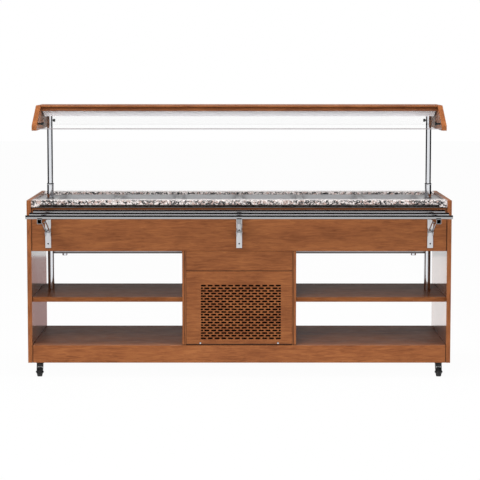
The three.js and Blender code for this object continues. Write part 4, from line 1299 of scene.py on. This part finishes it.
class SALADBAR_OT_posts(bpy.types.Operator):
    """Chromed posts that slide in their sleeves, with the seals and the deck's rings."""

    bl_idname = "saladbar.posts"
    bl_label = "Build Posts"

    wall: length("Post wall", "Wall of a post", 0.002)
    fit: length("Fit", "Clearance round a post in its sleeve", 0.0004)
    gap: length("Gap", "Gap between a sleeve and its seal", 0.0001)
    collar: length("Collar", "Height of a sleeve's collar", 0.007)
    proud: length("Collar step", "How far the collar stands proud", 0.0012)
    seal: length("Seal", "Height of the black seal on a sleeve", 0.0042)
    seal_edge: length("Seal edge", "Radius round the seal's upper edge", 0.002)
    seal_ease: length("Seal ease", "Slope at the seal's inner edge", 0.0006)
    flange: length("Flange", "Width of the ring where a sleeve passes the deck", 0.007)
    flange_rise: length("Flange rise", "Height of that ring above the deck", 0.0045)
    flange_foot: length("Flange foot", "Height of that ring's upright outer edge", 0.001)
    flange_edge: length("Flange edge", "Radius over that ring's outer edge", 0.0015)
    hollow: length("Hollow", "Radius of that ring's hollow towards the sleeve", 0.002)

    def sleeve(self, bore, outer, low, rim):
        """The sleeve up to its rim, with the collar that stands proud at its head."""
        body = outer - self.proud
        half = self.proud / 2
        foot = rim + self.seal - self.collar
        return [
            (bore, low),
            (body, low),
            (body, foot),
            *arc((outer - half, foot + half), half, 270, 360, 2),
            (outer, rim),
            (bore, rim),
        ]

    def lip(self, bore, outer, rim):
        """The seal on the sleeve's rim."""
        foot = rim + self.gap
        top = rim + self.seal
        side = outer - 2 * self.gap
        edge = self.seal_edge
        return [
            (bore, foot),
            (side, foot),
            *arc((side - edge, top - edge), edge, 0, 90, 4),
            (bore + self.seal_ease, top),
            (bore, top - self.seal_ease),
        ]

    def ring(self, body, deck):
        """The ring round the sleeve on the deck, hollowed towards the sleeve."""
        top = deck + self.flange_rise
        inner, lip = body + 3 * self.gap, body + 5 * self.gap
        outer, edge = body + self.flange, self.flange_edge
        return [
            (inner, deck),
            (outer, deck),
            *arc((outer - edge, deck + self.flange_foot), edge, 0, 90, 3),
            *reversed(arc((lip + self.hollow, top), self.hollow, 180, 270, 3)),
            (inner, top),
        ]

    def execute(self, context):
        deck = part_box("pan_deck")[1].z
        for side in SIDES:
            node = f"canopy_post_{side}"
            low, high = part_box(node)
            axis = (middle(node).x, middle(node).y, 0)
            radius = (high.x - low.x) / 2
            shape = shifted(pipe(radius, radius - self.wall, low.z, high.z, steps=64), axis)
            add_shape(f"{node}_chrome", shape, finish("chrome"), "canopy", [node])
            node = f"post_sleeve_{side}"
            low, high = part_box(node)
            outer = (high.x - low.x) / 2
            bore = radius + self.fit
            rim = high.z - self.seal
            shape = shifted(turned(self.sleeve(bore, outer, low.z, rim), 64), axis)
            add_shape(
                f"{node}_chrome", shape, finish("chrome"), "cabinet", [node], sharp=25
            )
            shape = shifted(turned(self.lip(bore, outer, rim), 64), axis)
            add_shape(f"sleeve_seal_{side}", shape, finish("rubber"), "cabinet")
            shape = shifted(turned(self.ring(outer - self.proud, deck), 48), axis)
            add_shape(f"deck_ring_{side}", shape, finish("steel", "X"), "cabinet")
        return {"FINISHED"}


class SALADBAR_OT_tray_slide(bpy.types.Operator):
    """Three round rails welded on three square arms."""

    bl_idname = "saladbar.tray_slide"
    bl_label = "Build Tray Slide"

    bead: length("Weld", "Radius of a weld bead", 0.0016)
    bead_inset: length("Weld inset", "Weld beads from the arm's edges", 0.002)

    def weld(self, x, y, z, steps=14, sides=8):
        """A bead along both sides of a rail where it lies on an arm."""
        fittings = settings().fittings
        half = fittings.arm / 2 - self.bead_inset
        turns = [2 * math.pi * side / sides for side in range(sides)]
        beads = []
        for sign in (-1, 1):
            centre_y = y + sign * fittings.rail_radius * 0.42
            rings = []
            for step in range(steps + 1):
                run = x - half + 2 * half * step / steps
                swell = self.bead * (0.85 + 0.15 * math.cos(step * math.pi))
                rings.append(
                    [(run, centre_y + swell * math.cos(a), z + swell * math.sin(a)) for a in turns]
                )
            beads.append(loft(rings))
        return merge(*beads)

    def execute(self, context):
        fittings = settings().fittings
        low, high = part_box("tray_slide")
        radius = fittings.rail_radius
        half = (high.x - low.x) / 2
        arm_top = low.z + fittings.arm
        front = low.y + fittings.rail_overhang + radius
        rails_y = [front + index * fittings.rail_pitch for index in range(3)]
        rail = lay_x(pipe(radius, radius - fittings.rail_wall, -half, half, steps=40))
        rails = [shifted(rail, (0, y, high.z - radius)) for y in rails_y]
        arms = []
        for bracket in BRACKETS:
            x = middle(f"bracket_leg_{bracket}").x
            closed = bracket == "centre"
            tube = box_tube(
                fittings.arm, fittings.arm_wall, fittings.arm_corner, 0.0, high.y - low.y, closed
            )
            place = Matrix.Translation((x, high.y, low.z + fittings.arm / 2))
            arms.append(moved(tube, place @ Matrix.Rotation(math.pi / 2, 4, "X")))
            arms.extend(self.weld(x, y, arm_top) for y in rails_y)
        # painted shade: the rails and the arms are darker copies of the steel
        steel = finish("steel", "X", 0.72, 0.12)
        add_shape("tray_rails", merge(*rails), steel, "tray_slide", ["tray_slide"])
        steel = finish("steel", "Y", 0.6, 0.16)
        add_shape("tray_arms", merge(*arms), steel, "tray_slide", ["tray_slide"])
        return {"FINISHED"}


class SALADBAR_OT_brackets(bpy.types.Operator):
    """Wall legs and struts, with the legs' black screws."""

    bl_idname = "saladbar.brackets"
    bl_label = "Dress Brackets"

    crown: length("Crown", "Leg's arched front ahead of the apron", 0.0105)
    low_screw: length("Low screw", "Lower screw above the leg's foot", 0.0227)
    high_screw: length("High screw", "Upper screw above the lower one", 0.071)

    def execute(self, context):
        metal = settings().metal
        places = []
        for bracket in BRACKETS:
            # painted light and shade: the legs are a lighter copy of the steel, the struts a
            # darker one
            dress(f"bracket_leg_{bracket}", finish("steel", "Z", 1.15), metal.edge)
            dress(f"strut_{bracket}", finish("steel", "Y", 0.5, 0.12), metal.strut_edge)
            low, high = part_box(f"bracket_leg_{bracket}")
            x = middle(f"bracket_leg_{bracket}").x
            for rise in (self.low_screw, self.low_screw + self.high_screw):
                places.append((x, high.y - self.crown, low.z + rise))
        radius = settings().fittings.screw
        add_screws("bracket", places, "cabinet", radius, finish("black"))
        return {"FINISHED"}


class SALADBAR_OT_castors(bpy.types.Operator):
    """Black wheels in pressed forks, each with its dust ring and brake block."""

    bl_idname = "saladbar.castors"
    bl_label = "Build Castors"

    ring: length("Dust ring", "Outer radius of the ring round the swivel", 0.0215)
    ring_wall: length("Ring wall", "Width of the dust ring", 0.003)
    ring_foot: length("Ring foot", "Dust ring above the fork's head", 0.0008)
    ring_top: length("Ring top", "Dust ring below the plate's top", 0.0031)
    brake: length("Brake", "Half width of the brake block over the wheel", 0.0134)
    brake_front: length("Brake front", "Brake block ahead of the swivel's axis", 0.0215)
    brake_rear: length("Brake rear", "Brake block behind the swivel's axis", 0.0145)
    brake_foot: length("Brake foot", "Brake block above the wheel", 0.001)
    brake_gap: length("Brake gap", "Brake block below the plate", 0.0006)
    brake_face: length("Brake face", "Depth of the block's raised front", 0.004)
    brake_top: length("Brake top", "Raised front below the fork's head", 0.003)
    bore: length("Bore", "Radius of a wheel's bore", 0.0033)
    hub: length("Hub", "Radius of a wheel's hub", 0.009)
    hub_ease: length("Hub ease", "Eased edges of the hub and of the rim", 0.001)
    dish: length("Dish", "Depth of the dish between hub and rim", 0.004)
    dish_slope: length("Dish slope", "Width of the dish's slopes", 0.0015)
    shoulder: length("Shoulder", "Radius of the tread's shoulder", 0.005)

    def swivel_ring(self, castor):
        """The dust ring between the plate and the fork's head."""
        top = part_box(f"{castor}_plate")[1].z - self.ring_top
        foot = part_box(f"{castor}_fork")[1].z + self.ring_foot
        centre = middle(f"{castor}_plate")
        ring = pipe(self.ring, self.ring - self.ring_wall, foot, top)
        shape = shifted(ring, (centre.x, centre.y, 0))
        add_shape(f"{castor}_ring", shape, finish("black"), "cabinet")

    def brake_block(self, castor):
        """The brake's black block between the fork's cheeks, clear of the wheel and the bolt."""
        centre = middle(f"{castor}_plate")
        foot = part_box(f"{castor}_wheel")[1].z + self.brake_foot
        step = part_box(f"{castor}_plate")[0].z - self.brake_gap
        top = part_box(f"{castor}_fork")[1].z - self.brake_top
        front, rear = centre.y - self.brake_front, centre.y + self.brake_rear
        x0, x1 = centre.x - self.brake, centre.x + self.brake
        shape = merge(
            block((x0, front, foot), (x1, rear, step)),
            block((x0, front, step), (x1, front + self.brake_face, top)),
        )
        swivel = f"{castor}_swivel"
        add_shape(f"{castor}_brake", shape, finish("black"), swivel)

    def wheel_shape(self, node):
        """A wheel with a dished web between its hub and its rounded tread."""
        low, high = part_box(node)
        radius = (high.z - low.z) / 2
        half = (high.x - low.x) / 2
        rim = radius - 2 * self.shoulder
        shoulder = arc((radius - self.shoulder, half - self.shoulder), self.shoulder, 0, 80, 6)
        side = [
            (self.bore, half),
            (self.hub - self.hub_ease, half),
            (self.hub, half - self.hub_ease),
            (self.hub + self.dish_slope, half - self.dish),
            (rim, half - self.dish),
            (rim + self.dish_slope, half - self.hub_ease),
            *reversed(shoulder),
        ]
        mirror = [(r, -z) for r, z in reversed(side)]
        return shifted(lay_x(turned(side + mirror, 56)), middle(node))

    def execute(self, context):
        for castor in CASTORS:
            for part in ("plate", "fork"):
                dress(f"{castor}_{part}", finish("black"), settings().metal.edge)
            self.swivel_ring(castor)
            self.brake_block(castor)
            node = f"{castor}_wheel"
            tread = self.wheel_shape(node)
            add_shape(f"{node}_tread", tread, finish("rubber"), node, [node])
        return {"FINISHED"}


class SALADBAR_OT_cooling_unit(bpy.types.Operator):
    """Condenser, fan, compressor and control box, and the air filter behind the vent panel, whose
    black is also painted shade behind the slots.
    """

    bl_idname = "saladbar.cooling_unit"
    bl_label = "Dress Cooling Unit"

    filter_gap: length("Filter gap", "Air filter behind the vent panel", 0.001)
    filter_depth: length("Filter depth", "Thickness of the air filter", 0.006)
    filter_rim: length("Filter rim", "Air filter above and below the vent panel", 0.0035)
    filter_inset: length("Filter inset", "Air filter's ends inside the vent panel's", 0.001)

    def execute(self, context):
        dress("condenser", finish("fins"))
        dress("condenser_fan", finish("black"))
        dress("compressor", finish("black"))
        dress("control_box", finish("plastic"))
        low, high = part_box("vent_panel")
        near = high.y + self.filter_gap
        # painted shade: the filter's black, which lets no light back, fills the dark behind the
        # slots
        mat = block(
            (low.x + self.filter_inset, near, low.z - self.filter_rim),
            (high.x - self.filter_inset, near + self.filter_depth, high.z + self.filter_rim),
        )
        add_shape("air_filter", mat, finish("foam"), "cabinet")
        return {"FINISHED"}


# name, power's setting, place and size of each soft lamp
LAMPS = (
    ("front_box", "key", (-1.6, -5.5, 3.2), (3.0, 2.0)),
    ("side_box", "fill", (4.5, -3.5, 2.4), (2.0, 2.0)),
    ("overhead_box", "top", (0, -0.4, 4.2), (3.5, 1.8)),
)
LAMP_AIM = Vector((0, 0.1, 0.7))


class SALADBAR_OT_studio(bpy.types.Operator):
    """Pale floor, even room light, soft lamps, reflected flags and cards, and the camera."""

    bl_idname = "saladbar.studio"
    bl_label = "Set Studio"

    def floor(self):
        """A floor that shows white, with a share of its own light and shadows."""
        studio = settings().studio
        shader = Shader("studio_floor")
        grit = shader.noise(shader.place(), 3.0, 3.0)
        shader.finish(base_color=tuple(studio.floor), roughness=0.85 + 0.1 * grit)
        white = shader.node(
            "ShaderNodeEmission", inputs={"Color": (1.0, 1.0, 1.0), "Strength": 1.0}
        )
        own = Socket(shader, shader.surface.outputs[0])
        factor = shader.shown_rays() * (1.0 - studio.keep)
        mixed = shader.node("ShaderNodeMixShader", inputs={0: factor, 1: own, 2: white})
        shader.feed(shader.tree.nodes["Material Output"].inputs["Surface"], mixed)
        half = studio.floor_reach
        corners = [(-half, -half, 0), (half, -half, 0), (half, half, 0), (-half, half, 0)]
        self.sheet("studio_floor", corners, shader)

    def sheet(self, name, corners, shader):
        """One face between four corners."""
        mesh = to_mesh(name, (corners, [(0, 1, 2, 3)]))
        mesh.materials.append(shader.material)
        return new_object(name, mesh)

    def flag(self, name, low, high):
        """A dark card that only gloss reflects, between two opposite corners."""
        shader = Shader(f"{name}_felt")
        nap = shader.noise(shader.place(), 6.0, 2.0)
        dark = tuple(settings().studio.flag)
        shader.finish(
            base_color=shader.mix(nap, dark, tinted(dark, 1.3)),
            roughness=1.0,
            specular_ior_level=0.0,
        )
        self.hang(name, low, high, shader)

    def card(self, name, low, high, light):
        """A glowing card that only gloss reflects."""
        shader = Shader(f"{name}_glow")
        shader.finish(
            base_color=(0.0, 0.0, 0.0),
            specular_ior_level=0.0,
            emission_color=tuple(light),
            emission_strength=1.0,
        )
        self.hang(name, low, high, shader)

    def hang(self, name, low, high, shader):
        """A sheet between two opposite corners, upright along Y where they share their X."""
        (x0, y0, z0), (x1, y1, z1) = low, high
        corners = [(x0, y0, z0), (x1, y0, z0), (x1, y1, z1), (x0, y1, z1)]
        if x0 == x1:
            corners = [(x0, y0, z0), (x0, y1, z0), (x0, y1, z1), (x0, y0, z1)]
        card = self.sheet(name, corners, shader)
        card.visible_camera = False
        card.visible_diffuse = False
        card.visible_shadow = False
        card.visible_transmission = False

    def flags(self):
        """Dark flags overhead and on both sides."""
        studio = settings().studio
        away, reach = studio.flag_place, studio.flag_reach
        self.flag("flag_overhead", (-reach, -reach, away), (reach, reach, away))
        for side, sign in SIDE_SIGNS:
            foot = (sign * away, -studio.flag_front, studio.flag_foot)
            self.flag(f"flag_{side}", foot, (sign * away, reach, away))

    def cards(self):
        """Glowing cards on the floor behind the bays, which light their lacquered walls."""
        studio = settings().studio
        for side, sign in SIDE_SIGNS:
            x0, x1 = sorted((sign * studio.card_inner, sign * studio.card_outer))
            near, far = studio.card_front, studio.card_rear
            light = getattr(studio, f"card_{side}")
            z = studio.card_rise
            self.card(f"card_{side}", (x0, near, z), (x1, far, z), light)

    def room(self):
        """Even light that shows as a white background."""
        world = bpy.data.worlds.new("studio_room")
        bpy.context.scene.world = world
        world.use_nodes = True
        tree = NodeTree(world.node_tree)
        level = tree.node(
            "ShaderNodeMapRange",
            inputs={"Value": tree.shown_rays(), "To Min": settings().studio.sky, "To Max": 1.0},
        )
        background = tree.tree.nodes["Background"]
        tree.feed(background.inputs["Color"], (1.0, 1.0, 1.0))
        tree.feed(background.inputs["Strength"], level)

    def lamp(self, name, place, size, energy):
        """A soft lamp that looks at the middle of the bar and shows in no reflection."""
        data = bpy.data.lights.new(name, "AREA")
        data.shape = "RECTANGLE"
        data.size, data.size_y = size
        data.energy = energy
        lamp = new_object(name, data)
        lamp.location = place
        lamp.rotation_mode = "QUATERNION"
        lamp.rotation_quaternion = (LAMP_AIM - Vector(place)).to_track_quat("-Z", "Y")
        lamp.visible_glossy = False

    def camera(self):
        view = settings().camera
        data = bpy.data.cameras.new("product_camera")
        data.lens = view.lens
        data.sensor_width = view.sensor
        camera = new_object("product_camera", data)
        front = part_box("side_panel_left")[0].y
        camera.location = (view.offset, front - view.distance, view.height)
        camera.rotation_euler = (math.pi / 2 - view.pitch, 0, 0)
        bpy.context.scene.camera = camera

    def execute(self, context):
        context.scene.view_settings.view_transform = "Standard"
        self.floor()
        self.room()
        for name, setting, place, size in LAMPS:
            self.lamp(name, place, size, getattr(settings().studio, setting))
        self.flags()
        self.cards()
        self.camera()
        return {"FINISHED"}


class SALADBAR_PT_panel(bpy.types.Panel):
    """Lists the build steps and their settings."""

    bl_label = "Salad Bar"
    bl_idname = "SALADBAR_PT_panel"
    bl_space_type = "VIEW_3D"
    bl_region_type = "UI"
    bl_category = "Salad Bar"

    def draw(self, context):
        layout = self.layout
        for step in STEPS:
            layout.operator(step.bl_idname)
        for part in SaladBarSettings.__annotations__:
            group = getattr(settings(), part)
            box = layout.box()
            for name in group.__annotations__:
                box.prop(group, name)


STEPS = (
    SALADBAR_OT_carcass,
    SALADBAR_OT_counter,
    SALADBAR_OT_vent,
    SALADBAR_OT_pans,
    SALADBAR_OT_canopy,
    SALADBAR_OT_lamp,
    SALADBAR_OT_posts,
    SALADBAR_OT_tray_slide,
    SALADBAR_OT_brackets,
    SALADBAR_OT_castors,
    SALADBAR_OT_cooling_unit,
    SALADBAR_OT_studio,
)
GROUPS = (
    SaladBarWood,
    SaladBarStone,
    SaladBarMetal,
    SaladBarVent,
    SaladBarFittings,
    SaladBarStudio,
    SaladBarCamera,
    SaladBarSettings,
)
CLASSES = (*GROUPS, *STEPS, SALADBAR_PT_panel)


def register():
    for entry in CLASSES:
        bpy.utils.register_class(entry)
    bpy.types.Scene.salad_bar = PointerProperty(type=SaladBarSettings)


def unregister():
    del bpy.types.Scene.salad_bar
    for entry in reversed(CLASSES):
        bpy.utils.unregister_class(entry)


def main():
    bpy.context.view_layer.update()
    register()
    for step in STEPS:
        group, name = step.bl_idname.split(".")
        getattr(getattr(bpy.ops, group), name)()


if __name__ == "__main__":
    main()
